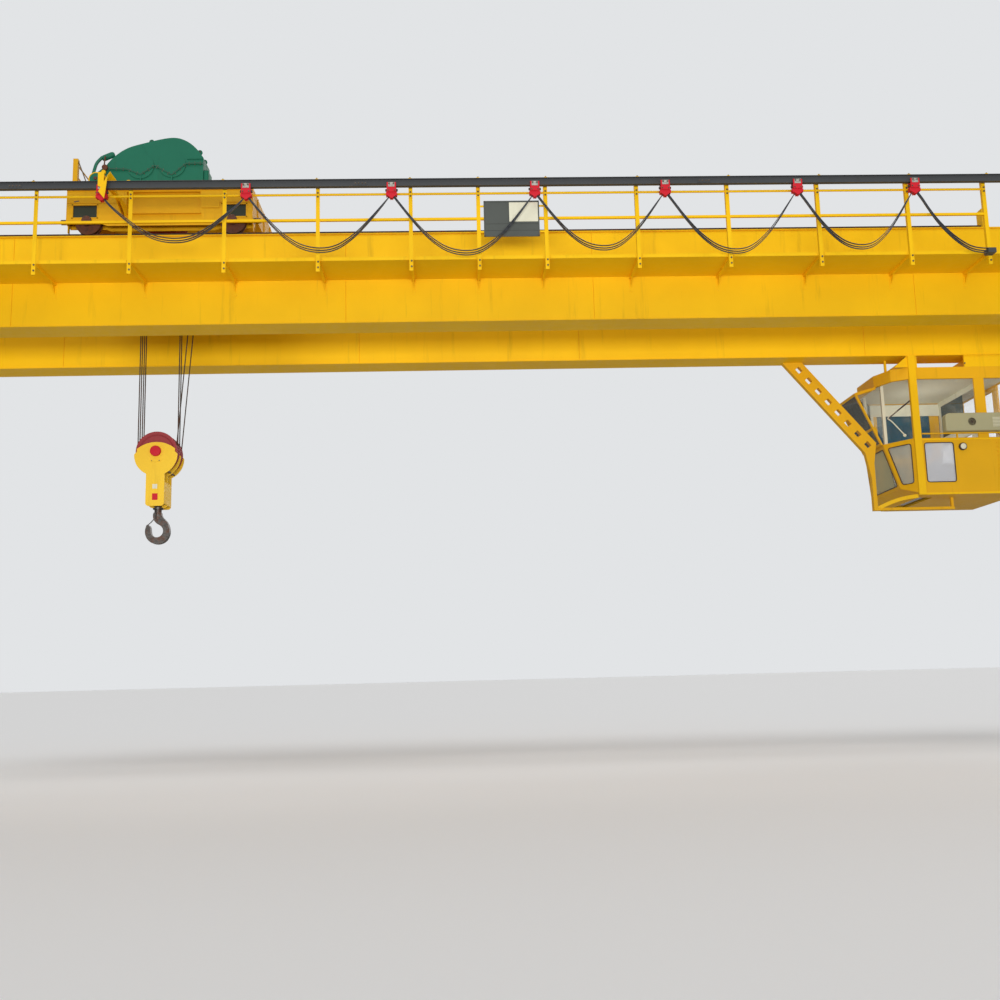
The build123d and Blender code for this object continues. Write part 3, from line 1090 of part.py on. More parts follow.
def body_form(inset):
    """The cabin's lower body, smaller by this much on its sides, front and floor and open to the belt."""
    with BuildPart() as form:
        with BuildSketch(Plane.XY.offset(CABIN_FLOOR)):
            with BuildLine():
                Polyline(BODY_PLAN, close=True)
            make_face()
            offset(amount=-inset, kind=Kind.INTERSECTION)
        extrude(amount=CABIN_BELT - CABIN_FLOOR)
        with BuildSketch(xz_at(CABIN_FAR)):
            with BuildLine():
                Polyline(side_profile(CABIN_BELT + inset), close=True)
            make_face()
            offset(amount=-inset, kind=Kind.INTERSECTION)
        extrude(amount=CABIN_WIDTH, mode=Mode.INTERSECT)
    return form.part


def plan_ring(outer, inner_by, z0, z1):
    """A rim that follows a plan, this wide, added to the open part."""
    with BuildSketch(Plane.XY.offset(z0)) as rim:
        with BuildLine():
            Polyline(outer, close=True)
        make_face()
        offset(amount=-inner_by, kind=Kind.INTERSECTION, mode=Mode.SUBTRACT)
    extrude(rim.sketch, amount=z1 - z0)


def chamfer_plane(side):
    """Sketch plane of a cut-off corner: y runs up and z out, and side times x runs from the post to the front."""
    corner = (CABIN_SIDE_FRONT, CABIN_MIDDLE + side * CABIN_WIDTH / 2, 0)
    along = Vector(-CORNER_RUN, -side * CABIN_CHAMFER, 0)
    outward = Vector(-CABIN_CHAMFER, side * CORNER_RUN, 0)
    return Plane(origin=corner, x_dir=along * side, z_dir=outward)


def front_plane():
    """Sketch plane of the leaning lower front: x runs along Y, y runs up the slope, z points out."""
    slope = Vector(CABIN_FRONT - CHIN_FRONT, 0, CABIN_BELT - CHIN_TOP)
    return Plane(origin=(CABIN_FRONT, CABIN_MIDDLE, CABIN_BELT), x_dir=(0, -1, 0),
                 z_dir=Vector(0, -1, 0).cross(slope))


def lower_windows(margin, radius):
    """The body's window outlines, each as (sketch face, direction out), inset by this much from their face."""
    chamfer_top = math.hypot(CORNER_RUN, CABIN_CHAMFER)
    chamfer_low = chamfer_top * (CABIN_SIDE_FRONT - CHIN_FRONT) / CORNER_RUN
    chin_half = CABIN_WIDTH / 2 - CABIN_CHAMFER * (CABIN_SIDE_FRONT - CHIN_FRONT) / CORNER_RUN
    slope_height = math.hypot(CHIN_FRONT - CABIN_FRONT, CABIN_BELT - CHIN_TOP)
    outlines = []
    for side in (-1, 1):
        outlines.append((chamfer_plane(side), [(0, CABIN_BELT), (side * chamfer_top, CABIN_BELT),
                                               (side * chamfer_low, CHIN_TOP), (0, CHIN_TOP)]))
        wall = Plane(origin=(0, CABIN_MIDDLE + side * CABIN_WIDTH / 2, 0), x_dir=(-side, 0, 0), z_dir=(0, side, 0))
        left, right = -side * SIDE_WINDOW_LEFT, -side * SIDE_WINDOW_RIGHT
        outlines.append((wall, [(left, CABIN_BELT), (right, CABIN_BELT), (right, CHIN_TOP), (left, CHIN_TOP)]))
    outlines.append((front_plane(), [(-FRONT_HALF, 0), (FRONT_HALF, 0), (chin_half, -slope_height),
                                     (-chin_half, -slope_height)]))
    made = []
    for plane, outline in outlines:
        with BuildSketch(plane) as window:
            with BuildLine():
                Polyline(outline, close=True)
            make_face()
            offset(amount=-margin, kind=Kind.INTERSECTION)
            fillet(window.vertices(), radius=radius)
        made.append((window.sketch, plane.z_dir))
    return made


with BuildPart() as cabin_body:
    add(body_form(0))
    add(body_form(CABIN_WALL), mode=Mode.SUBTRACT)
    for window, outward in lower_windows(WINDOW_MARGIN, WINDOW_ROUND):
        extrude(window, amount=2 * CABIN_WALL, dir=outward, both=True, mode=Mode.SUBTRACT)
    with Locations([((FLOOR_GLASS_LEFT + FLOOR_GLASS_RIGHT) / 2, CABIN_MIDDLE, CABIN_FLOOR)]):
        Box(FLOOR_GLASS_RIGHT - FLOOR_GLASS_LEFT, FLOOR_GLASS_WIDTH, 3 * CABIN_WALL, mode=Mode.SUBTRACT)
    with Locations([(CABIN_REAR, CABIN_MIDDLE, (CABIN_BELT + CABIN_FLOOR) / 2 + CABIN_WALL)]):
        Box(3 * CABIN_WALL, DOOR_WIDTH, CABIN_BELT - CABIN_FLOOR, mode=Mode.SUBTRACT)
    for step in range(LOUVRE_BLADES):
        blade_z = LOUVRE_TOP - (step + 0.5) * LOUVRE_PITCH
        xy_box(LOUVRE_LEFT, LOUVRE_RIGHT, CABIN_NEAR - LOUVRE_REACH, CABIN_NEAR, blade_z - LOUVRE_PLATE / 2,
               blade_z + LOUVRE_PLATE / 2)
save(cabin_body, "cabin_body")

with BuildPart() as cabin_roof:
    with BuildSketch(Plane.XY.offset(ROOF_TOP - ROOF_PLATE)) as sheet:
        with BuildLine():
            Polyline(ROOF_PLAN, close=True)
        make_face()
    extrude(sheet.sketch, amount=ROOF_PLATE)
    plan_ring(ROOF_PLAN, FASCIA_PLATE, ROOF_BOTTOM, ROOF_TOP - ROOF_PLATE)
    plan_ring(ROOF_PLAN, FASCIA_LIP, ROOF_BOTTOM, ROOF_BOTTOM + FASCIA_PLATE)
save(cabin_roof, "cabin_roof")

# Cream lining: the ceiling, the two inner posts of the windshield and the wall behind the driver
PARTITION_NEAR = CABIN_NEAR + FASCIA_LIP + RUNNING_CLEARANCE
PARTITION_FAR = CABIN_FAR - FASCIA_LIP - RUNNING_CLEARANCE
with BuildPart() as cabin_lining:
    with BuildSketch(Plane.XY.offset(ROOF_BOTTOM + FASCIA_PLATE)) as ceiling:
        with BuildLine():
            Polyline(ROOF_PLAN, close=True)
        make_face()
        offset(amount=-FASCIA_PLATE - RUNNING_CLEARANCE, kind=Kind.INTERSECTION)
    extrude(ceiling.sketch, amount=CEILING_THICKNESS)
    for side in (-1, 1):
        post_y = CABIN_MIDDLE + side * (FRONT_HALF - CREAM_POST / 2)
        xy_box(CABIN_FRONT + CABIN_WALL, CABIN_FRONT + CABIN_WALL + CREAM_POST, post_y - CREAM_POST / 2,
               post_y + CREAM_POST / 2, CABIN_BELT + BELT_PLATE, ROOF_BOTTOM + FASCIA_PLATE)
    xy_box(PARTITION_X, PARTITION_X + PARTITION_PLATE, PARTITION_NEAR, PARTITION_FAR, CABIN_FLOOR + CABIN_WALL,
           ROOF_BOTTOM + FASCIA_PLATE)
    with Locations([(PARTITION_X, CABIN_MIDDLE, (PARTITION_GLASS_BOTTOM + PARTITION_GLASS_TOP) / 2)]):
        Box(4 * PARTITION_PLATE, PARTITION_GLASS_WIDTH, PARTITION_GLASS_TOP - PARTITION_GLASS_BOTTOM,
            mode=Mode.SUBTRACT)
    with Locations([(PARTITION_X, CABIN_MIDDLE, CABIN_FLOOR + CABIN_WALL)]):
        Box(4 * PARTITION_PLATE, DOOR_WIDTH, 2 * (PARTITION_GLASS_BOTTOM - PARTITION_SILL - CABIN_FLOOR - CABIN_WALL),
            mode=Mode.SUBTRACT)
save(cabin_lining, "cabin_lining")

# Frame above the belt: corner posts, belt plate, rail, and the leaning windshield with its visor
SHIELD_SLOPE = Vector(SHIELD_TOP[0] - SHIELD_FOOT[0], 0, SHIELD_TOP[1] - SHIELD_FOOT[1])
SHIELD_PLANE = Plane(origin=(SHIELD_FOOT[0], CABIN_MIDDLE, SHIELD_FOOT[1]), x_dir=(0, -1, 0),
                     z_dir=Vector(0, -1, 0).cross(SHIELD_SLOPE))


def in_shield_frame(below):
    """A point in the middle of the windshield frame's depth, this far below its top."""
    place = SHIELD_PLANE.from_local_coords((0, SHIELD_SLOPE.length - below, SHIELD_DEPTH / 2))
    return (place.X, place.Z)


with BuildPart() as cabin_frame:
    plan_ring(BODY_PLAN, CABIN_WALL, CABIN_BELT, CABIN_BELT + BELT_PLATE)
    with Locations([(CABIN_REAR, CABIN_MIDDLE, CABIN_BELT)]):
        Box(4 * CABIN_WALL, DOOR_WIDTH, 4 * BELT_PLATE, mode=Mode.SUBTRACT)
    for wall_y, inward in ((CABIN_NEAR, 1), (CABIN_FAR, -1)):
        wall = sorted((wall_y, wall_y + inward * CABIN_WALL))
        for left, right in ((CABIN_SIDE_FRONT, CABIN_SIDE_FRONT + CORNER_POST), (MIDDLE_POST_LEFT, MIDDLE_POST_RIGHT),
                            (CABIN_REAR - REAR_POST, CABIN_REAR)):
            xy_box(left, right, wall[0], wall[1], CABIN_BELT + BELT_PLATE, ROOF_BOTTOM)
        rail = sorted((wall_y, wall_y - inward * SIDE_RAIL))
        xy_box(CABIN_SIDE_FRONT + CORNER_POST + SIDE_RAIL, CABIN_REAR, rail[0], rail[1], SIDE_RAIL_Z,
               SIDE_RAIL_Z + SIDE_RAIL)
        for stub in (SIDE_WINDOW_RIGHT, CABIN_REAR - SIDE_RAIL):
            xy_box(stub, stub + SIDE_RAIL, rail[0], rail[1], CABIN_BELT, SIDE_RAIL_Z)
            low, high = sorted((wall_y, wall_y + inward * BELT_PLATE / 2))
            xy_box(stub, stub + SIDE_RAIL, low, high, CABIN_BELT, SIDE_RAIL_Z)
    with BuildSketch(SHIELD_PLANE) as shield:
        with Locations([(0, SHIELD_SLOPE.length / 2)]):
            Rectangle(2 * FRONT_HALF, SHIELD_SLOPE.length)
        sash_height = SHIELD_SLOPE.length * SHIELD_SASH
        pane_width = 2 * (FRONT_HALF - SHIELD_BAR)
        with Locations([(0, (SHIELD_BAR + sash_height) / 2)]):
            Rectangle(pane_width, sash_height - SHIELD_BAR, mode=Mode.SUBTRACT)
        with Locations([(0, (sash_height + SHIELD_SLOPE.length) / 2)]):
            Rectangle(pane_width, SHIELD_SLOPE.length - sash_height - 2 * SHIELD_BAR, mode=Mode.SUBTRACT)
    extrude(shield.sketch, amount=SHIELD_DEPTH)
    for side in (-1, 1):
        visor_y = CABIN_MIDDLE + side * FRONT_HALF + VISOR_PLATE / 2
        with BuildSketch(xz_at(visor_y)) as cheek_frame:
            with BuildLine():
                Polyline([SHIELD_TOP, (ROOF_FRONT + FASCIA_PLATE, ROOF_BOTTOM), (ROOF_FRONT + FASCIA_PLATE,
                          ROOF_BOTTOM - SHIELD_BAR), (SHIELD_TOP[0] + SHIELD_BAR, SHIELD_TOP[1] - SHIELD_BAR),
                          in_shield_frame(SHIELD_BAR)], close=True)
            make_face()
        extrude(cheek_frame.sketch, amount=VISOR_PLATE)
    with BuildSketch(xz_at(CABIN_MIDDLE + FRONT_HALF)) as visor:
        with BuildLine():
            Polyline([SHIELD_TOP, (ROOF_FRONT, ROOF_BOTTOM), (ROOF_FRONT + 2 * FASCIA_PLATE, ROOF_BOTTOM),
                      (SHIELD_TOP[0] + VISOR_PLATE, SHIELD_TOP[1] - VISOR_PLATE),
                      in_shield_frame(2 * VISOR_PLATE)], close=True)
        make_face()
    extrude(visor.sketch, amount=2 * FRONT_HALF)
save(cabin_frame, "cabin_frame")

# Glass: panes in the lower windows, the windshield and its two cheeks, the upper corners and sides
with BuildPart() as cabin_glass:
    for window, outward in lower_windows(WINDOW_MARGIN + RUNNING_CLEARANCE, WINDOW_ROUND):
        inward = outward * -CABIN_WALL / 2
        extrude(window.moved(Location(inward)), amount=GLASS, dir=outward)
    pane_half = FLOOR_GLASS_WIDTH / 2 - RUNNING_CLEARANCE
    xy_box(FLOOR_GLASS_LEFT + RUNNING_CLEARANCE, FLOOR_GLASS_RIGHT - RUNNING_CLEARANCE, CABIN_MIDDLE - pane_half,
           CABIN_MIDDLE + pane_half, CABIN_FLOOR + CABIN_WALL - GLASS, CABIN_FLOOR + CABIN_WALL)
    with BuildSketch(SHIELD_PLANE.offset(SHIELD_DEPTH / 2)) as shield_panes:
        pane_width -= 2 * RUNNING_CLEARANCE
        with Locations([(0, (SHIELD_BAR + sash_height) / 2)]):
            Rectangle(pane_width, sash_height - SHIELD_BAR - 2 * RUNNING_CLEARANCE)
        with Locations([(0, (sash_height + SHIELD_SLOPE.length) / 2)]):
            Rectangle(pane_width, SHIELD_SLOPE.length - sash_height - 2 * SHIELD_BAR - 2 * RUNNING_CLEARANCE)
    extrude(shield_panes.sketch, amount=GLASS)
    for side in (-1, 1):
        cheek_y = CABIN_MIDDLE + side * (FRONT_HALF - GLASS)
        back = CABIN_FRONT + CABIN_WALL - RUNNING_CLEARANCE
        lean = (SHIELD_TOP[0] - SHIELD_FOOT[0]) / (SHIELD_TOP[1] - SHIELD_FOOT[1])
        cheek_top = SHIELD_TOP[1] - SHIELD_BAR - RUNNING_CLEARANCE
        front_gap = SHIELD_DEPTH
        with BuildSketch(xz_at(cheek_y + GLASS / 2)) as cheek:
            with BuildLine():
                Polyline([(back, SHIELD_FOOT[1] + RUNNING_CLEARANCE + front_gap),
                          (back, ROOF_BOTTOM - SHIELD_BAR - RUNNING_CLEARANCE - 5),
                          (SHIELD_TOP[0] + front_gap, cheek_top - 5)], close=True)
            make_face()
        extrude(cheek.sketch, amount=GLASS)
        corner = chamfer_plane(side)
        far_edge = math.hypot(CORNER_RUN, CABIN_CHAMFER) - CREAM_POST - CABIN_WALL
        with BuildSketch(corner.offset(-CABIN_WALL / 2)) as corner_pane:
            with BuildLine():
                Polyline([(side * CORNER_PANE_GAP, CABIN_BELT + BELT_PLATE + RUNNING_CLEARANCE),
                          (side * far_edge, CABIN_BELT + BELT_PLATE + RUNNING_CLEARANCE),
                          (side * far_edge, ROOF_BOTTOM - RUNNING_CLEARANCE),
                          (side * CORNER_PANE_GAP, ROOF_BOTTOM - RUNNING_CLEARANCE)], close=True)
            make_face()
        extrude(corner_pane.sketch, amount=-GLASS)
        wall_y = CABIN_MIDDLE + side * (CABIN_WIDTH / 2 - CABIN_WALL / 2)
        low, high = sorted((wall_y, wall_y + side * GLASS))
        for left, right in ((CABIN_SIDE_FRONT + CORNER_POST, MIDDLE_POST_LEFT),
                            (MIDDLE_POST_RIGHT, CABIN_REAR - REAR_POST)):
            xy_box(left + RUNNING_CLEARANCE, right - RUNNING_CLEARANCE, low, high,
                   CABIN_BELT + BELT_PLATE + RUNNING_CLEARANCE, ROOF_BOTTOM - RUNNING_CLEARANCE)
    half = PARTITION_GLASS_WIDTH / 2 - RUNNING_CLEARANCE
    xy_box(PARTITION_X + PARTITION_PLATE / 2, PARTITION_X + PARTITION_PLATE / 2 + GLASS, CABIN_MIDDLE - half,
           CABIN_MIDDLE + half, PARTITION_GLASS_BOTTOM + RUNNING_CLEARANCE, PARTITION_GLASS_TOP - RUNNING_CLEARANCE)
save(cabin_glass, "cabin_glass")

# Rear door, shut, between the rear posts
with BuildPart() as cabin_door:
    leaf_half = DOOR_WIDTH / 2 - RUNNING_CLEARANCE
    xy_box(CABIN_REAR - CABIN_WALL, CABIN_REAR - CABIN_WALL + DOOR_PLATE, CABIN_MIDDLE - leaf_half,
           CABIN_MIDDLE + leaf_half, CABIN_FLOOR + CABIN_WALL + RUNNING_CLEARANCE, ROOF_BOTTOM - RUNNING_CLEARANCE)
    with Locations([(CABIN_REAR - CABIN_WALL, CABIN_MIDDLE, (CABIN_BELT + ROOF_BOTTOM) / 2)]):
        Box(4 * DOOR_PLATE, DOOR_WIDTH - 2 * DOOR_BORDER, ROOF_BOTTOM - CABIN_BELT - 2 * DOOR_BORDER,
            mode=Mode.SUBTRACT)
    for side in (-1, 1):
        low, high = sorted((CABIN_MIDDLE + side * DOOR_WIDTH / 2, CABIN_MIDDLE + side * (DOOR_WIDTH / 2 + DOOR_BORDER)))
        xy_box(CABIN_REAR - CABIN_WALL, CABIN_REAR, low, high, CABIN_BELT + BELT_PLATE, ROOF_BOTTOM)
    handle_y = CABIN_MIDDLE + leaf_half - DOOR_BORDER
    xy_box(CABIN_REAR - CABIN_WALL + DOOR_PLATE, CABIN_REAR + DOOR_HANDLE, handle_y, handle_y + DOOR_HANDLE,
           CABIN_BELT, CABIN_BELT + DOOR_HANDLE)
    xy_box(CABIN_REAR + DOOR_HANDLE, CABIN_REAR + 2 * DOOR_HANDLE, handle_y - DOOR_BORDER, handle_y + DOOR_HANDLE,
           CABIN_BELT, CABIN_BELT + DOOR_HANDLE)
save(cabin_door, "cabin_door")

# Air unit on the belt outside the near wall: a rounded case with a round fan grille
with BuildPart() as cabin_air_unit:
    with BuildSketch(xz_at(CABIN_NEAR)) as case_face:
        with Locations([((AIR_UNIT_LEFT + AIR_UNIT_RIGHT) / 2, (AIR_UNIT_BOTTOM + AIR_UNIT_TOP) / 2)]):
            Rectangle(AIR_UNIT_RIGHT - AIR_UNIT_LEFT, AIR_UNIT_TOP - AIR_UNIT_BOTTOM)
        fillet(case_face.vertices().group_by(Axis.Y)[-1], radius=AIR_UNIT_ROUND)
    extrude(case_face.sketch, amount=AIR_UNIT_DEPTH)
    fillet(cabin_air_unit.faces().sort_by(Axis.Y)[0].edges(), radius=AIR_UNIT_ROUND / 4)
    with BuildSketch(xz_at(CABIN_NEAR - AIR_UNIT_DEPTH)) as fan_hole:
        with Locations([(AIR_FAN_X, (AIR_UNIT_BOTTOM + AIR_UNIT_TOP) / 2)]):
            Circle(AIR_FAN_RADIUS)
            Circle(AIR_FAN_RADIUS / 4, mode=Mode.SUBTRACT)
    extrude(fan_hole.sketch, amount=-AIR_UNIT_ROUND / 2, mode=Mode.SUBTRACT)
save(cabin_air_unit, "cabin_air_unit")

# Hangers: the near front post runs up past the roof to the girder, with a gusset, a small post at the
# roof's shoulder and a long beam at the rear, and two crossbeams carry the roof's far half
with BuildPart() as cabin_hangers:
    post_right = CABIN_SIDE_FRONT + CORNER_POST
    xy_box(CABIN_SIDE_FRONT, post_right, CABIN_NEAR - HANGER_POST, CABIN_NEAR, CABIN_FLOOR, GIRDER_BOTTOM)
    xy_box(CABIN_SIDE_FRONT - HANGER_POST, post_right + HANGER_POST, CABIN_NEAR - HANGER_POST,
           CABIN_NEAR + CORNER_POST, GIRDER_BOTTOM - HANGER_PLATE, GIRDER_BOTTOM)
    with BuildSketch(xz_at(CABIN_NEAR)) as gusset:
        with BuildLine():
            Polyline([(CABIN_SIDE_FRONT, GIRDER_BOTTOM), (CABIN_SIDE_FRONT - GUSSET_RUN, ROOF_TOP),
                      (CABIN_SIDE_FRONT, ROOF_TOP)], close=True)
        make_face()
    extrude(gusset.sketch, amount=HANGER_PLATE)
    xy_box(ROOF_SHOULDER - HANGER_POST, ROOF_SHOULDER, CABIN_NEAR + CABIN_CHAMFER / 2 + HANGER_POST,
           CABIN_NEAR + CABIN_CHAMFER / 2 + 2 * HANGER_POST, ROOF_TOP, GIRDER_BOTTOM)
    for beam_x in (CABIN_SIDE_FRONT + HANGER_POST, MIDDLE_POST_LEFT):
        xy_box(beam_x, beam_x + CROSSBEAM_WIDTH, CABIN_NEAR, CABIN_FAR, ROOF_TOP, GIRDER_BOTTOM)
    xy_box(REAR_BEAM_LEFT, CABIN_REAR - REAR_POST, CABIN_NEAR, CABIN_NEAR + HANGER_POST, ROOF_TOP, GIRDER_BOTTOM)
save(cabin_hangers, "cabin_hangers")

# Perforated brace from the girder down past the cabin's front, with a foot bar under the floor
with BuildPart() as cabin_brace:
    brace_axis = Vector(BRACE_KNEE[0] - BRACE_TOP[0], BRACE_KNEE[1] - BRACE_TOP[1])
    square = Vector(brace_axis.Y, -brace_axis.X).normalized() * BRACE_WIDTH / 2
    top_half = BRACE_WIDTH / 2 / abs(brace_axis.normalized().Y)
    with BuildSketch(xz_at(BRACE_Y + BRACE_DEPTH / 2)) as brace_side:
        with BuildLine():
            Polyline([(BRACE_TOP[0] - top_half, BRACE_TOP[1]), (BRACE_TOP[0] + top_half, BRACE_TOP[1]),
                      (BRACE_KNEE[0] - square.X, BRACE_KNEE[1] - square.Y),
                      (BRACE_LOW[0] + BRACE_LEG / 2, BRACE_KNEE[1] - BRACE_WIDTH),
                      (BRACE_LOW[0] + BRACE_LEG / 2, BRACE_LOW[1] + BRACE_BAR),
                      (BRACE_END, BRACE_LOW[1] + BRACE_BAR), (BRACE_END, BRACE_LOW[1]),
                      (BRACE_LOW[0] - BRACE_LEG / 2, BRACE_LOW[1]),
                      (BRACE_LOW[0] - BRACE_LEG / 2, BRACE_KNEE[1] - 2 * BRACE_WIDTH),
                      (BRACE_KNEE[0] + square.X, BRACE_KNEE[1] + square.Y)], close=True)
        make_face()
    extrude(brace_side.sketch, amount=BRACE_DEPTH)
    tilt = math.degrees(math.atan2(brace_axis.Y, brace_axis.X))
    with BuildSketch(xz_at(BRACE_Y + BRACE_DEPTH)) as slots:
        for step in range(BRACE_SLOTS):
            share = (step + BRACE_SLOT_START) / BRACE_SLOTS
            with Locations([Location((BRACE_TOP[0] + share * brace_axis.X, BRACE_TOP[1] + share * brace_axis.Y, 0),
                                     (0, 0, tilt))]):
                Rectangle(BRACE_SLOT_LENGTH, BRACE_SLOT_WIDTH)
    extrude(slots.sketch, amount=2 * BRACE_DEPTH, mode=Mode.SUBTRACT)
    xy_box(BRACE_END - BRACE_BAR, BRACE_END, BRACE_Y - BRACE_BAR / 2, BRACE_Y + BRACE_BAR / 2,
           BRACE_LOW[1] + BRACE_BAR, CABIN_FLOOR)
save(cabin_brace, "cabin_brace")

# Driver's seat between two sloping consoles
with BuildPart() as cabin_seat:
    seat_front = SEAT_BACK_X - SEAT_LENGTH
    floor_top = CABIN_FLOOR + CABIN_WALL
    xy_box(seat_front, SEAT_BACK_X, CABIN_MIDDLE - SEAT_WIDTH / 2, CABIN_MIDDLE + SEAT_WIDTH / 2,
           SEAT_TOP - SEAT_CUSHION, SEAT_TOP)
    with BuildSketch(xz_at(CABIN_MIDDLE + SEAT_WIDTH / 2)) as back:
        with BuildLine():
            Polyline([(SEAT_BACK_X - SEAT_CUSHION, SEAT_TOP), (SEAT_BACK_X, SEAT_TOP),
                      (SEAT_BACK_X + SEAT_CUSHION, SEAT_TOP + SEAT_BACK_HEIGHT),
                      (SEAT_BACK_X, SEAT_TOP + SEAT_BACK_HEIGHT)], close=True)
        make_face()
    extrude(back.sketch, amount=SEAT_WIDTH)
    xy_box((seat_front + SEAT_BACK_X) / 2 - SEAT_CUSHION, (seat_front + SEAT_BACK_X) / 2 + SEAT_CUSHION,
           CABIN_MIDDLE - SEAT_CUSHION, CABIN_MIDDLE + SEAT_CUSHION, floor_top, SEAT_TOP - SEAT_CUSHION)
    for side in (-1, 1):
        low, high = sorted((CABIN_MIDDLE + side * (SEAT_WIDTH / 2 + CONSOLE_GAP),
                            CABIN_MIDDLE + side * (SEAT_WIDTH / 2 + CONSOLE_GAP + CONSOLE_WIDTH)))
        with BuildSketch(xz_at(high)) as console:
            with BuildLine():
                Polyline([(seat_front - CONSOLE_REACH, floor_top), (SEAT_BACK_X, floor_top),
                          (SEAT_BACK_X, SEAT_TOP + CONSOLE_RISE),
                          (seat_front, SEAT_TOP + CONSOLE_RISE),
                          (seat_front - CONSOLE_REACH, SEAT_TOP)], close=True)
            make_face()
        extrude(console.sketch, amount=high - low)
save(cabin_seat, "cabin_seat")
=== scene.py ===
import itertools
import json
from math import asin, atan2, cos, hypot, pi, radians, sin, sqrt, tan, tau

import bmesh
import bpy
from mathutils import Matrix, Vector


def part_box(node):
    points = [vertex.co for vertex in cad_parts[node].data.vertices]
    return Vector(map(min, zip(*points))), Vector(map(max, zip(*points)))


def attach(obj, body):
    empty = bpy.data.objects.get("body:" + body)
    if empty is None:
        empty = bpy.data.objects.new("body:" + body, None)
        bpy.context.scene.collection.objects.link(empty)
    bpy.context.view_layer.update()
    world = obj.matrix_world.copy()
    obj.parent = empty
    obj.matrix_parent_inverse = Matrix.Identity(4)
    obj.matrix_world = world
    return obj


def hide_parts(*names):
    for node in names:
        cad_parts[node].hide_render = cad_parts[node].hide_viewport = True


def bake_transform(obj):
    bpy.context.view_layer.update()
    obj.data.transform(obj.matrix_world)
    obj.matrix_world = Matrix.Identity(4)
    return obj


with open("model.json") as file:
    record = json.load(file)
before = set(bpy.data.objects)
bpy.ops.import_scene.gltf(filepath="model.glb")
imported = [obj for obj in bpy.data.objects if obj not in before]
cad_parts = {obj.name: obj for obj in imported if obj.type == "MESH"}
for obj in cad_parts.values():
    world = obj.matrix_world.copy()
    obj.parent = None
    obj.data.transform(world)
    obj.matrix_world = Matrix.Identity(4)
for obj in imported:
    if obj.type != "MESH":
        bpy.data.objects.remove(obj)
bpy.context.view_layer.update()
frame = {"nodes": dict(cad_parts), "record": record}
NODES = frame["nodes"]

# Directions of the crane: near is towards the camera
SIDES = (-1, 1)
RIGHT = (1, 0, 0)
NEAR = (0, -1, 0)
FAR = (0, 1, 0)
UP = (0, 0, 1)
# The hall's floor below the runway rails, in metres, and the camera as it stood in the hall
FLOOR_Z = -8.16
FLOOR_HALF = 400
CAMERA_PLACE = Vector((0.0, -18.965, -6.556))
CAMERA_YAW = 0.0381
CAMERA_PITCH = 0.1614
CAMERA_ROLL = -0.0254
CAMERA_LENS = 38.85
SENSOR_WIDTH = 36.0
CLIP_END = 1000


def linear(red, green, blue):
    """A colour given as 0 to 255 screen values, as the linear colour that shaders take."""
    def one(value):
        value /= 255
        return value / 12.92 if value <= 0.04045 else ((value + 0.055) / 1.055) ** 2.4
    return (one(red), one(green), one(blue), 1.0)


def put(tree, socket, value):
    """Links a socket to another, or sets its number or colour."""
    if isinstance(value, bpy.types.NodeSocket):
        tree.links.new(value, socket)
    else:
        socket.default_value = value


def add_node(tree, kind, inputs, **settings):
    """A new node with these settings and inputs."""
    made = tree.nodes.new("ShaderNode" + kind)
    for name, value in settings.items():
        setattr(made, name, value)
    for name, value in inputs.items():
        put(tree, made.inputs[name], value)
    return made


# Materials
MATERIALS = {}


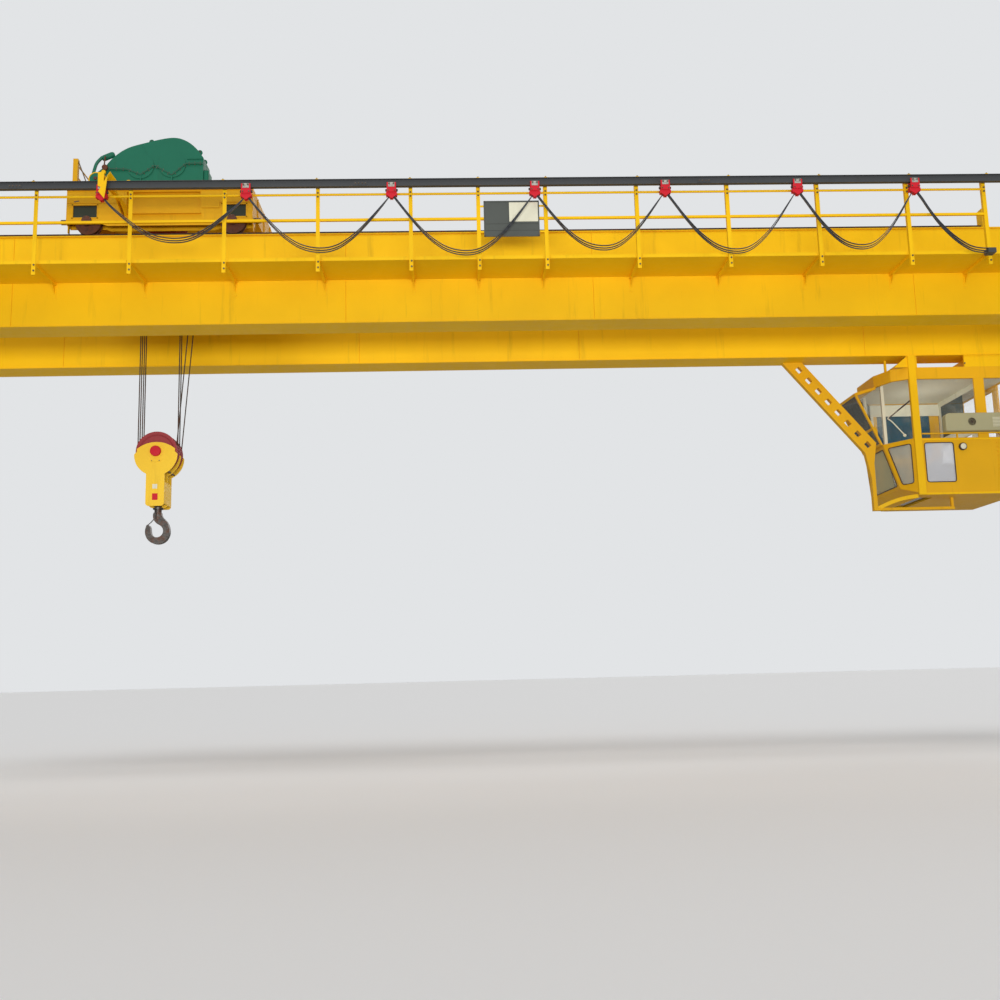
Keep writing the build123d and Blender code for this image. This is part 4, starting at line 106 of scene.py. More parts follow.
class Shader:
    """A material's node tree, with one call for each kind of node that the materials here use."""

    def __init__(self, name):
        self.name = name
        self.material = bpy.data.materials.new(name)
        self.material.use_nodes = True
        self.tree = self.material.node_tree
        self.tree.nodes.clear()
        self.surface = self.node("BsdfPrincipled", {})
        self.node("OutputMaterial", {"Surface": self.surface.outputs[0]})
        self.place = self.node("TexCoord", {}).outputs["Object"]
        self.normal = self.node("NewGeometry", {}).outputs["Normal"]

    def node(self, kind, inputs, **settings):
        return add_node(self.tree, kind, inputs, **settings)

    def set(self, socket, value):
        put(self.tree, self.surface.inputs[socket], value)

    def scaled(self, x, y, z):
        """Object coordinates stretched by these factors."""
        return self.node("Mapping", {"Vector": self.place, "Scale": (x, y, z)}).outputs[0]

    def noise(self, scale, detail=3.0, roughness=0.55, vector=None):
        vector = self.place if vector is None else vector
        inputs = {"Vector": vector, "Scale": scale, "Detail": detail, "Roughness": roughness}
        return self.node("TexNoise", inputs).outputs["Fac"]

    def math(self, operation, a, b=0.0, clamp=False):
        return self.node("Math", {0: a, 1: b}, operation=operation, use_clamp=clamp).outputs[0]

    def both(self, *shares):
        """The product of several shares."""
        made = shares[0]
        for share in shares[1:]:
            made = self.math("MULTIPLY", made, share)
        return made

    def ramp(self, value, low, high, to_low=0.0, to_high=1.0):
        """The value's range from low to high, spread smoothly over another range."""
        inputs = {"Value": value, "From Min": low, "From Max": high, "To Min": to_low, "To Max": to_high}
        return self.node("MapRange", inputs, interpolation_type="SMOOTHSTEP").outputs[0]

    def mix(self, share, a, b):
        return self.node("Mix", {"Factor": share, "A": a, "B": b}, data_type="RGBA").outputs["Result"]

    def place_along(self, axis):
        """The object coordinate along an axis."""
        return self.node("SeparateXYZ", {0: self.place}).outputs[axis]

    def facing(self, axis):
        """How far the surface faces along an axis: the normal's share of it, from -1 to 1."""
        return self.node("SeparateXYZ", {0: self.normal}).outputs[axis]

    def edges(self, radius):
        """1 at the surface's sharp edges, falling to 0 within this distance."""
        rounded = self.node("Bevel", {"Radius": radius}, samples=4).outputs[0]
        dot = self.node("VectorMath", {0: rounded, 1: self.normal}, operation="DOT_PRODUCT").outputs["Value"]
        return self.ramp(dot, 0.995, 0.88)

    def bump(self, height, distance, strength):
        inputs = {"Strength": strength, "Distance": distance, "Height": height}
        self.set("Normal", self.node("Bump", inputs).outputs[0])

    def finish(self, color, roughness, metallic=0.0):
        """Sets what every material has, and keeps the material under its name."""
        self.set("Base Color", color)
        self.set("Roughness", roughness)
        self.set("Metallic", metallic)
        MATERIALS[self.name] = self.material
        return self.material


SOIL = (104, 82, 42)
DUST = linear(122, 104, 72)
RUST = linear(112, 62, 34)


def painted(name, color, dust=0.22, wear=0.5, gloss=0.46, under=(96, 60, 38), tone=0.05, specular=0.2):
    """Shop paint on steel plate: slow tone changes, grime streaks, dust on top faces and worn edges."""
    shader = Shader(name)
    light = linear(*[min(255, value * (1 + tone)) for value in color])
    dark = linear(*[value * (1 - tone) for value in color])
    grimy = linear(*[value * 0.5 + soil * 0.25 for value, soil in zip(color, SOIL)])
    patches = shader.ramp(shader.noise(0.55, 4), 0.32, 0.68)
    tint = shader.mix(0.55, shader.mix(patches, dark, light), linear(*color))
    streaks = shader.noise(2.2, 5, 0.62, shader.scaled(3.2, 3.2, 0.28))
    upright = shader.ramp(shader.math("ABSOLUTE", shader.facing("Z")), 0.5, 0.1)
    tint = shader.mix(shader.both(shader.ramp(streaks, 0.56, 0.78), upright, 0.28), tint, grimy)
    speckle = shader.ramp(shader.noise(38, 4, 0.7), 0.40, 0.75)
    settled = shader.both(shader.ramp(shader.facing("Z"), 0.55, 0.95), speckle, dust)
    tint = shader.mix(settled, tint, DUST)
    chips = shader.ramp(shader.noise(24, 5, 0.65), 0.50, 0.60)
    tint = shader.mix(shader.both(shader.edges(0.006), chips, wear), tint, linear(*under))
    rough = shader.math("ADD", shader.ramp(shader.noise(9, 4), 0.3, 0.7, gloss, gloss + 0.12),
                        shader.math("MULTIPLY", settled, 0.6), clamp=True)
    shader.bump(shader.noise(160, 2), 0.0006, 0.35)
    shader.set("Specular IOR Level", specular)
    shader.finish(tint, rough)


def bare_steel(name, color, rust=0.5, metallic=0.75, gloss=0.38, scale=14.0):
    """Rolled or machined steel: fine brushed grain with patches of rust."""
    shader = Shader(name)
    grain = shader.noise(60, 4, 0.6, shader.scaled(0.35, 1.0, 1.0))
    darker = linear(*[value * 0.72 for value in color])
    tint = shader.mix(shader.ramp(grain, 0.35, 0.7), linear(*color), darker)
    patches = shader.ramp(shader.noise(scale, 6, 0.68), 0.46, 0.62)
    rusty = shader.math("MULTIPLY", patches, rust)
    rough = shader.math("ADD", shader.math("MULTIPLY", rusty, 0.4), gloss, clamp=True)
    shader.bump(grain, 0.0008, 0.5)
    shader.finish(shader.mix(rusty, tint, RUST), rough, metallic)


def rubber(name, color, gloss=0.62):
    """Moulded rubber or plastic sheath, a little dusty."""
    shader = Shader(name)
    dusty = shader.ramp(shader.noise(30, 5, 0.65), 0.42, 0.75, 0.0, 0.5)
    tint = shader.mix(dusty, linear(*color), linear(*[60 + value * 0.75 for value in color]))
    shader.bump(shader.noise(220, 2), 0.0005, 0.4)
    shader.finish(tint, shader.ramp(dusty, 0.0, 0.5, gloss - 0.15, gloss + 0.15))


def window_glass(name):
    """Cabin panes: clear on the near side; blue-green on the far side, darkened as painted shade; an olive
    one in front; pale near-solid ones low in front, at the corner and at the side as painted reflections.
    """
    shader = Shader(name)
    x, y, z = (shader.place_along(axis) for axis in "XYZ")
    lower = shader.ramp(z, -2.28, -2.30)
    front = shader.both(shader.ramp(x, 8.53, 8.51), shader.ramp(y, 1.50, 1.52), shader.ramp(y, 2.48, 2.46))
    corner = shader.both(lower, shader.ramp(x, 8.74, 8.72), shader.ramp(y, 1.50, 1.48))
    side = shader.both(lower, shader.ramp(x, 8.80, 8.82), shader.ramp(y, 1.2, 1.1))
    chin = shader.ramp(z, -3.30, -3.32)
    far = shader.ramp(y, 1.90, 1.92)
    # The far panes keep a blue-green tint, darkened and made nearly solid as painted shade for the dark seen
    # through them
    tint = shader.mix(far, linear(226, 232, 228), linear(2, 58, 76))
    solid = shader.ramp(far, 0, 1, 0.03, 0.94)
    # The pale, nearly solid colours of the lower front, near corner and near side panes are painted
    # reflections of bright light
    for share, color, cover in ((front, (64, 66, 52), 0.80),
                                (shader.both(front, lower), (212, 204, 148), 0.96),
                                (corner, (222, 220, 204), 0.72), (side, (246, 249, 255), 0.80),
                                (chin, (46, 52, 52), 0.92)):
        tint = shader.mix(share, tint, linear(*color))
        rest = shader.both(solid, shader.math("SUBTRACT", 1.0, share))
        solid = shader.math("ADD", rest, shader.both(share, cover))
    dusty = shader.ramp(shader.noise(5, 5, 0.6), 0.40, 0.80, 0.0, 0.07)
    tint = shader.mix(dusty, tint, linear(176, 172, 156))
    shader.set("Alpha", shader.math("ADD", solid, dusty, clamp=True))
    shader.set("Transmission Weight", 0.45)
    shader.set("IOR", 1.45)
    shader.finish(tint, shader.math("ADD", dusty, 0.05, clamp=True))


def tread_sheet(name, color):
    """Painted sheet with a raised lozenge pattern, trodden dirty."""
    shader = Shader(name)
    cells = shader.node("TexVoronoi", {"Vector": shader.scaled(26, 26, 26), "Scale": 1.0}, feature="F1")
    raised = shader.ramp(cells.outputs["Distance"], 0.30, 0.16)
    dirt = shader.ramp(shader.noise(3.0, 5, 0.65), 0.42, 0.72)
    tint = shader.mix(shader.math("MULTIPLY", dirt, 0.5), linear(*color), linear(96, 84, 62))
    worn = shader.math("MULTIPLY", raised, shader.ramp(shader.noise(7, 4), 0.45, 0.6))
    tint = shader.mix(shader.math("MULTIPLY", worn, 0.6), tint, linear(138, 130, 118))
    shader.bump(raised, 0.002, 0.8)
    shader.finish(tint, 0.5)


painted("girder_paint", (246, 194, 8), wear=0.35)
bare_steel("rail_steel", (80, 70, 64), 0.75)
painted("track_steel", (72, 74, 76), under=(120, 112, 104))
painted("machine_green", (30, 108, 84), under=(60, 58, 52), wear=0.4, dust=0.12)
painted("carrier_red", (206, 34, 48), under=(90, 60, 56), wear=0.4)
painted("sheave_red", (158, 62, 66), under=(120, 96, 88), wear=0.9, dust=0.5)
bare_steel("wheel_steel", (104, 60, 42), 0.7, 0.25, 0.5)
painted("sign_green", (84, 88, 84), wear=0.3)
rubber("buffer_rubber", (56, 38, 32))
rubber("cable_sheath", (58, 62, 68), 0.5)
bare_steel("rope_steel", (86, 78, 70), 0.55, 0.6, 0.45, 6.0)
window_glass("glass")
painted("cream_panel", (226, 223, 200), wear=0.1, dust=0.1, tone=0.03)
bare_steel("hook_steel", (92, 88, 84), 0.4)
rubber("seat_vinyl", (34, 34, 36), 0.42)
painted("weld_paint", (236, 172, 10), wear=0.1)
tread_sheet("tread_plate", (206, 152, 22))
bare_steel("bolt_steel", (120, 108, 92), 0.45, 0.4, 0.45, 30.0)
# A darker copy of the girder yellow: painted shade for the trolley, with a little more wear
painted("trolley_shaded_paint", (222, 166, 12), wear=0.4)
# A darker copy of the girder yellow: painted shade for the cabin
painted("cabin_shaded_paint", (232, 176, 20), wear=0.3)
painted("unit_enamel", (172, 168, 132), wear=0.3, dust=0.3)
bare_steel("zinc_plate", (194, 192, 182), 0.12, 0.25, 0.5, 30.0)
painted("block_paint", (252, 204, 56), wear=0.25)
# Dark grey-green for the plates of painted shade inside the trolley's wheel openings
painted("wheel_shade", (52, 58, 46), wear=0.2, dust=0.3)

# The nodes drawn with another material than their slot's: a paler yellow on the hook block, enamel on the air
# unit, and darker yellows on the trolley and the cabin, whose darkness is painted shade, their real paint
# being the girders' yellow
NODE_PAINT_AND_SHADE = {"hook_block": "block_paint", "cabin_air_unit": "unit_enamel"}
NODE_PAINT_AND_SHADE.update(dict.fromkeys(("trolley_frame", "trolley_handrail", "hoist_drum"), "trolley_shaded_paint"))
NODE_PAINT_AND_SHADE.update(dict.fromkeys(("cabin_body", "cabin_frame", "cabin_roof", "cabin_door", "cabin_brace"),
                                "cabin_shaded_paint"))


def dress_frame():
    """Gives every CAD node the material of its record slot, or the material listed for it above."""
    for part in frame["record"]["subparts"]:
        node = NODES[part["node"]]
        node.data.materials.clear()
        node.data.materials.append(MATERIALS[NODE_PAINT_AND_SHADE.get(part["node"], part["material_slot"])])


# Mesh helpers
def add_object(name, points, faces, material, smooth):
    """A mesh from arrays, shaded smooth up to an angle."""
    mesh = bpy.data.meshes.new(name)
    mesh.from_pydata([tuple(p) for p in points], [], [tuple(f) for f in faces])
    mesh.materials.append(material)
    mesh.update()
    if smooth:
        mesh.shade_smooth()
        mesh.set_sharp_from_angle(angle=radians(smooth))
    made = bpy.data.objects.new(name, mesh)
    bpy.context.scene.collection.objects.link(made)
    return made


def add_parts(name, parts, slot, body="bridge", material=None, smooth=35.0):
    """Several meshes joined as one object that rides on a body."""
    made = add_object(name, *joined(parts), MATERIALS[material or slot], smooth)
    if body:
        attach(made, body)
    shape = bmesh.new()
    shape.from_mesh(made.data)
    bmesh.ops.recalc_face_normals(shape, faces=shape.faces)
    shape.to_mesh(made.data)
    shape.free()
    made.data.set_sharp_from_angle(angle=radians(smooth))
    return made


def add_bolts(name, heads, body="bridge"):
    """A body's bolt heads as one object."""
    add_parts(name, heads, "rail_steel", body, "bolt_steel", 30)


def joined(parts):
    """Several (points, faces) meshes as one."""
    points, faces = [], []
    for part_points, part_faces in parts:
        count = len(points)
        points += list(part_points)
        faces += [[index + count for index in face] for face in part_faces]
    return points, faces


def skinned(points, size, closed=False):
    """Points in rings of one size, joined by quads. The ends are capped, or the last ring meets the first."""
    count = len(points) // size
    faces = []
    for row in range(count if closed else count - 1):
        here, there = row * size, (row + 1) % count * size
        faces += [(here + i, here + (i + 1) % size, there + (i + 1) % size, there + i) for i in range(size)]
    if not closed:
        faces += [tuple(range(size))[::-1], tuple(range((count - 1) * size, count * size))]
    return points, faces


def swept(path, section, closed=False, winds=None):
    """A section of (side, up) points carried along a path, untwisted or wound by an angle at each place."""
    path = [Vector(p) for p in path]
    before = (path[-1:] if closed else path[:1]) + path
    after = path[1:] + (path[:1] if closed else path[-1:])
    tangents = [(b - a).normalized() for a, b in zip(before, after)]
    side = Vector((0, 1, 0)) if abs(tangents[0].y) < 0.9 else Vector((0, 0, 1))
    side = (side - tangents[0] * side.dot(tangents[0])).normalized()
    points = []
    for place, tangent, wind in zip(path, tangents, winds or [0.0] * len(path)):
        side = (side - tangent * side.dot(tangent)).normalized()
        up = tangent.cross(side)
        points += [place + side * (a * cos(wind) - b * sin(wind)) + up * (a * sin(wind) + b * cos(wind))
                   for a, b in section]
    return skinned(points, len(section), closed)


def circle(radius, sides=8):
    return [(radius * cos(tau * i / sides), radius * sin(tau * i / sides)) for i in range(sides)]


def oblong(width, depth):
    """A rectangular section."""
    half, tall = width / 2, depth / 2
    return [(-half, -tall), (half, -tall), (half, tall), (-half, tall)]


def nurbs_line(route):
    """Points along the smooth line that has this route as its control points."""
    curve = bpy.data.curves.new("line", "CURVE")
    curve.dimensions = "3D"
    spline = curve.splines.new("NURBS")
    spline.points.add(len(route) - 1)
    for point, place in zip(spline.points, route):
        point.co = (*place, 1.0)
    spline.order_u = 3
    spline.use_endpoint_u = True
    spline.resolution_u = 12
    holder = bpy.data.objects.new("line", curve)
    mesh = bpy.data.meshes.new_from_object(holder)
    line = [vertex.co.copy() for vertex in mesh.vertices]
    bpy.data.meshes.remove(mesh)
    bpy.data.objects.remove(holder)
    bpy.data.curves.remove(curve)
    return line


def ordered(a, b):
    """Two opposite corners of a box as its low corner and its high corner."""
    return tuple(min(p, q) for p, q in zip(a, b)), tuple(max(p, q) for p, q in zip(a, b))


def block(a, b):
    """An upright box between two opposite corners."""
    (x0, y0, z0), (x1, y1, z1) = ordered(a, b)
    points = [(x, y, z) for z in (z0, z1) for y in (y0, y1) for x in (x0, x1)]
    faces = [(0, 2, 3, 1), (4, 5, 7, 6), (0, 1, 5, 4), (2, 6, 7, 3), (0, 4, 6, 2), (1, 3, 7, 5)]
    return points, faces


def soft_block(a, b, edge):
    """An upright box between two opposite corners, its edges cut off at 45 degrees."""
    low, high = ordered(a, b)
    shape = bmesh.new()
    for corner in itertools.product((0, 1), repeat=3):
        for axis in range(3):
            place = [high[i] - edge if corner[i] else low[i] + edge for i in range(3)]
            place[axis] = high[axis] if corner[axis] else low[axis]
            shape.verts.new(place)
    bmesh.ops.convex_hull(shape, input=shape.verts)
    bmesh.ops.dissolve_limit(shape, angle_limit=0.01, verts=shape.verts, edges=shape.edges)
    shape.verts.index_update()
    points = [vertex.co.copy() for vertex in shape.verts]
    faces = [[vertex.index for vertex in face.verts] for face in shape.faces]
    shape.free()
    return points, faces


def square_to(axis):
    """The axis as a unit vector and two directions square to it."""
    axis = Vector(axis).normalized()
    start = Vector((0, 0, 1)) if abs(axis.z) < 0.9 else Vector((1, 0, 0))
    across = start.cross(axis).normalized()
    return axis, across, axis.cross(across)


def round_places(centre, axis, radius, count, start=0.0):
    """Places evenly spaced on a circle."""
    axis, across, up = square_to(axis)
    turns = [tau * (step + start) / count for step in range(count)]
    return [Vector(centre) + (across * cos(turn) + up * sin(turn)) * radius for turn in turns]


def lathe(profile, place, axis, sides=16):
    """A profile of (distance along, radius) points turned round an axis through a place."""
    unit = Vector(axis).normalized()
    points = []
    for along, radius in profile:
        points += round_places(Vector(place) + unit * along, axis, radius, sides)
    return skinned(points, sides)


def ring(place, axis, inner, outer, depth, sides=32):
    """A flat ring with a rectangular section."""
    axis = Vector(axis).normalized()
    points = []
    for spot in round_places(place, axis, (inner + outer) / 2, sides):
        out = (spot - Vector(place)).normalized() * (outer - inner) / 2
        points += [spot - out, spot + out, spot + out + axis * depth, spot - out + axis * depth]
    return skinned(points, 4, True)


def bolts(places, axis, size):
    """The same bolt at many places: a hexagon head of this width across, on its washer."""
    washer = lathe([(0, 0.66 * size), (0.12 * size, 0.66 * size)], (0, 0, 0), axis, 12)
    profile = [(0.12 * size, 0.57 * size), (0.66 * size, 0.57 * size), (0.74 * size, 0.47 * size)]
    head = lathe(profile, (0, 0, 0), axis, 6)
    points, faces = joined([washer, head])
    return joined([([point + Vector(place) for point in points], faces) for place in places])


def bar(start, end, width, depth):
    """A straight bar of rectangular section."""
    return swept([start, end], oblong(width, depth))


def rod(start, end, radius, sides=8):
    return swept([start, end], circle(radius, sides))


def bent(points, radius, steps=6):
    """A path through these points with its corners rounded."""
    points = [Vector(point) for point in points]
    path = [points[0]]
    for before, corner, after in zip(points, points[1:], points[2:]):
        into, out = (before - corner).normalized(), (after - corner).normalized()
        reach = min(radius, (before - corner).length / 2, (after - corner).length / 2)
        start, end = corner + into * reach, corner + out * reach
        for step in range(steps + 1):
            share = step / steps
            path.append(start * (1 - share) ** 2 + corner * 2 * share * (1 - share) + end * share ** 2)
    return path + [points[-1]]


def spread(first, last, count):
    """Evenly spaced numbers from the first to the last."""
    return [first + (last - first) * step / (count - 1) for step in range(count)]


def outlined(outline, plane, near, far):
    """A flat outline of (u, v) points in the plane xz or yz, given depth."""
    points = [(u, level, v) if plane == "xz" else (level, u, v) for level in (near, far) for u, v in outline]
    count = len(outline)
    faces = [tuple(range(count)), tuple(range(count, 2 * count))[::-1]]
    faces += [(i, i + count, (i + 1) % count + count, (i + 1) % count) for i in range(count)]
    return points, faces


def rim(outline, plane, level, width, depth):
    """A thin raised frame along a closed outline of (u, v) points."""
    parts = []
    for (u0, v0), (u1, v1) in zip(outline, outline[1:] + outline[:1]):
        length = hypot(u1 - u0, v1 - v0)
        du, dv = (u1 - u0) / length * width / 2, (v1 - v0) / length * width / 2
        strip = [(u0 - du - dv, v0 - dv + du), (u1 + du - dv, v1 + dv + du), (u1 + du + dv, v1 + dv - du),
                 (u0 - du + dv, v0 - dv - du)]
        parts.append(outlined(strip, plane, level, level + depth))
    return joined(parts)


# Festoon cables: three flat cables in each hanging loop, stacked where they leave the saddles
SADDLE_SLOPE = radians(35)
SADDLE_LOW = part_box("tow_carrier")[0].z
SADDLE_HALF = 0.090
TRACK_Y = (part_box("tow_carrier")[0].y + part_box("tow_carrier")[1].y) / 2
CABLE_WIDTH = 0.036
CABLE_THICKNESS = 0.011
EXIT_RUN = 0.110
EXIT_Z = SADDLE_LOW + SADDLE_HALF * tan(SADDLE_SLOPE) / 2
RUN_X = EXIT_RUN * sin(SADDLE_SLOPE)
RUN_Z = EXIT_RUN * cos(SADDLE_SLOPE)
LOOP_SHAPE = [(0.13, 0.41), (0.25, 0.73), (0.40, 0.97), (0.59, 1.0), (0.74, 0.76), (0.86, 0.44)]
LOOP_BOTTOMS = [0.400, 0.210, 0.140, 0.200, 0.120, 0.170]
LAST_LOOP = [(7.795, 0.820), (7.925, 0.610), (8.080, 0.420), (8.270, 0.240)]
ANCHOR_RUN_X = 8.500
CARRIERS = ["tow_carrier"] + [f"cable_carrier_{number}" for number in range(1, 7)]
STRAND_SPREAD = [-0.030, 0.0, 0.038]
STRAND_SHIFT = [0.006, -0.004, -0.012]


def carrier_station(name):
    low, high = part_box(name)
    return (low.x + high.x) / 2


def loop_route(left, right, bottom):
    """A loop's control points between two carriers at these stations, down to this height."""
    start, end = left + SADDLE_HALF / 2, right - SADDLE_HALF / 2
    route = [(start, EXIT_Z), (start + RUN_X, EXIT_Z - RUN_Z)]
    for across, down in LOOP_SHAPE:
        route.append((start + across * (end - start), EXIT_Z - down * (EXIT_Z - bottom)))
    return route + [(end - RUN_X, EXIT_Z - RUN_Z), (end, EXIT_Z)]


def last_route(station, anchor_x, anchor_z):
    """The last loop falls from the sixth carrier and ends level in the anchor."""
    start = station + SADDLE_HALF / 2
    ends = [(ANCHOR_RUN_X, anchor_z), (anchor_x, anchor_z)]
    return [(start, EXIT_Z), (start + RUN_X, EXIT_Z - RUN_Z)] + LAST_LOOP + ends


def flat_section():
    """A flat cable's rounded section, its width along Y."""
    corner = CABLE_THICKNESS / 2
    reach = CABLE_WIDTH / 2 - corner
    ends = [(1, -90), (1, -30), (1, 30), (1, 90), (-1, 90), (-1, 150), (-1, 210), (-1, 270)]
    return [(side * reach + corner * cos(radians(turn)), corner * sin(radians(turn)))
            for side, turn in ends]


def build_loop(number, route):
    """The three cables of one loop. Each is as deep as the route, a little more or a little less."""
    depth = max(z for _, z in route) - min(z for _, z in route)
    top = route[0][1]
    for letter, higher, shift in zip("abc", STRAND_SPREAD, STRAND_SHIFT):
        points = [(x, TRACK_Y + shift * min(1, (top - z) / depth), z + higher * ((top - z) / depth) ** 0.5)
                  for x, z in route]
        stack = CABLE_THICKNESS * (1 if higher > 0 else -1 if higher < 0 else 0)
        for index, (x, z) in enumerate(route[:2]):
            points[index] = (x + stack * cos(SADDLE_SLOPE), points[index][1], z + stack * sin(SADDLE_SLOPE))
        line = nurbs_line(points)
        cable = add_object(f"festoon_cable_{number}{letter}", *swept(line, flat_section()),
                           MATERIALS["cable_sheath"], 50)
        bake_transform(cable)
        if number == 1 and letter == "a":
            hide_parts("festoon_cables")


def build_festoon():
    for number, (left, right) in enumerate(zip(CARRIERS, CARRIERS[1:]), start=1):
        route = loop_route(carrier_station(left), carrier_station(right), LOOP_BOTTOMS[number - 1])
        build_loop(number, route)
    low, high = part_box("cable_anchor")
    route = last_route(carrier_station(CARRIERS[-1]), low.x, (low.z + high.z) / 2)
    build_loop(len(CARRIERS), route)


# Girders: weld beads, the bolted joints with the end trucks, rail clips and the rails' joint plates
GIRDER_YS = (-1.2, 1.2)
GIRDER_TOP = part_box("near_girder_top_flange")[1].z
BEAD_TOP = GIRDER_TOP - 0.018
BEAD_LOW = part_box("near_girder_bottom_flange")[0].z + 0.014
BEAD_RADIUS = 0.009
SEAM_HALF = (0.007, 0.004)
WEB_SEAMS = (-7.4, -1.85, 2.35, 7.9)
WEB_HALF = 0.26
GIRDER_END = 11.025
JOINT_X = GIRDER_END - 0.022
JOINT_LOW = 0.27
JOINT_WIDTH = 0.085
JOINT_BOLT_OUT = 0.043
JOINT_BOLTS = 8
DEEP_END = 10.72
RAIL_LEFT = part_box("trolley_rails")[0].x
RAIL_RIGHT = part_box("trolley_rails")[1].x
RAIL_SEAMS = (-3.9, 2.7)
CLIP_COUNT = 33
CLIP_HALF = 0.035
CLIP_LEVELS = (GIRDER_TOP, GIRDER_TOP + 0.012, GIRDER_TOP + 0.026)
RAIL_WEB_HALF = 0.0066
FISHPLATE_FACE = 0.022
FISHPLATE_HALF = 0.26
FOOT_HALF = 0.057


def build_girder_details():
    beads, clips, heads, plates = [], [], [], []
    for centre in GIRDER_YS:
        for side in SIDES:
            face = centre + side * WEB_HALF
            for z in (BEAD_TOP, BEAD_LOW):
                beads.append(swept([(-DEEP_END, face, z), (DEEP_END, face, z)], circle(BEAD_RADIUS)))
            for x in WEB_SEAMS:
                beads.append(swept([(x, face, BEAD_LOW), (x, face, BEAD_TOP)],
                                   [(SEAM_HALF[0] * a, SEAM_HALF[1] * b) for a, b in circle(1)]))
        for end in SIDES:
            for side in SIDES:
                out = centre + side * (WEB_HALF + JOINT_WIDTH)
                plates.append(block((end * JOINT_X, centre + side * WEB_HALF, JOINT_LOW),
                                    (end * GIRDER_END, out, GIRDER_TOP - 0.02)))
                places = [(end * JOINT_X, centre + side * (WEB_HALF + JOINT_BOLT_OUT), z)
                          for z in spread(JOINT_LOW + 0.05, GIRDER_TOP - 0.08, JOINT_BOLTS)]
                heads.append(bolts(places, (-end, 0, 0), 0.036))
    low, middle, high = CLIP_LEVELS
    for centre in GIRDER_YS:
        for x in spread(RAIL_LEFT + 0.2, RAIL_RIGHT - 0.2, CLIP_COUNT):
            for side in SIDES:
                outer = centre + side * (FOOT_HALF + 0.05)
                for inner, bottom, top in ((-0.012, middle, high), (0.002, low, middle)):
                    clips.append(block((x - CLIP_HALF, centre + side * (FOOT_HALF + inner), bottom),
                                       (x + CLIP_HALF, outer, top)))
                heads.append(bolts([(x, centre + side * (FOOT_HALF + 0.027), high)], UP, 0.03))
        for seam in RAIL_SEAMS:
            for side in SIDES:
                face = centre + side * FISHPLATE_FACE
                clips.append(block((seam - FISHPLATE_HALF, centre + side * RAIL_WEB_HALF, GIRDER_TOP + 0.03),
                                   (seam + FISHPLATE_HALF, face, GIRDER_TOP + 0.085)))
                heads.append(bolts([(seam + x, face, GIRDER_TOP + 0.058) for x in (-0.2, -0.08, 0.08, 0.2)],
                                   (0, side, 0), 0.028))
    add_parts("girder_weld_beads", beads, "girder_paint", "bridge", "weld_paint", 60)
    add_parts("girder_joint_plates", plates, "girder_paint")
    add_parts("rail_clips", clips, "rail_steel")
    add_bolts("bridge_bolts", heads)


# Walkways and handrails: patterned deck sheets, bolts at the posts, tabs on the toe plates and gussets
DECK_TOP = 0.124
DECK_WEB = 1.46
DECK_EDGE = 2.322
POST_FACE = 2.385
POST_BOLTS = (0.045, 0.14)
SHEET_YS = (1.463, 2.314)
SHEET_RISE = 0.0025
GUSSET_TOP = DECK_TOP - 0.055
NEAR_POSTS = [-9.7, -8.2, -6.7, -5.2, -3.7, -2.2, -0.7, 0.4, 1.5, 3.0, 4.5, 6.0, 7.5, 8.8]
FAR_POSTS = [-9 + 1.5 * step for step in range(13)]
UPPER_RAIL_Y = -2.354
UPPER_RAIL_Z = 1.235
UPPER_RAIL_RADIUS = 0.019


def build_walkway_details():
    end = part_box("near_walkway")[1].x
    sheets, heads, brackets = [], [], []
    joints = spread(-end, end, 12)
    for side, posts in zip(SIDES, (NEAR_POSTS, FAR_POSTS)):
        for left, right in zip(joints, joints[1:]):
            sheets.append(block((left + 0.002, side * SHEET_YS[0], DECK_TOP - 0.001),
                                (right - 0.002, side * SHEET_YS[1], DECK_TOP + SHEET_RISE)))
        edge, web = side * DECK_EDGE, side * DECK_WEB
        for post in posts:
            places = [(post + 0.006, side * POST_FACE, DECK_TOP - down) for down in POST_BOLTS]
            heads.append(bolts(places, (0, side, 0), 0.024))
            for x in (post - 0.075, post + 0.075):
                brackets.append(block((x - 0.018, edge - side * 0.002, DECK_TOP),
                                      (x + 0.018, edge - side * 0.012, DECK_TOP + 0.05)))
            gusset = [(web, GUSSET_TOP), (web, DECK_TOP - 0.215), (web + side * 0.15, GUSSET_TOP)]
            brackets.append(outlined(gusset, "yz", post - 0.004, post + 0.004))
    add_parts("deck_sheets", sheets, "girder_paint", "bridge", "tread_plate")
    add_bolts("walkway_bolts", heads)
    add_parts("walkway_brackets", brackets, "girder_paint")
    # The rail that shows just under the festoon's track
    ends = [(x, UPPER_RAIL_Y, UPPER_RAIL_Z) for x in (NEAR_POSTS[0], NEAR_POSTS[-1])]
    add_parts("near_upper_rail", [rod(*ends, UPPER_RAIL_RADIUS, 12)], "girder_paint")


SIGN_LEFT = 0.485
SIGN_RIGHT = 1.390
SIGN_TOP = 1.085
SIGN_MARGIN = 0.012
SIGN_STRIPS = ((SIGN_LEFT + 0.02, 0.575, SIGN_RIGHT - 0.02, 0.595), (0.870, 0.700, 0.885, SIGN_TOP - 0.02),
               (SIGN_LEFT + 0.02, 0.690, SIGN_RIGHT - 0.02, 0.704))
SIGN_PLATE = ((0.900, 0.725), (SIGN_RIGHT - 0.022, 1.055))
HANGER_POSTS = (0.40, 1.50)
HANGER_ZS = (0.56, 1.00)


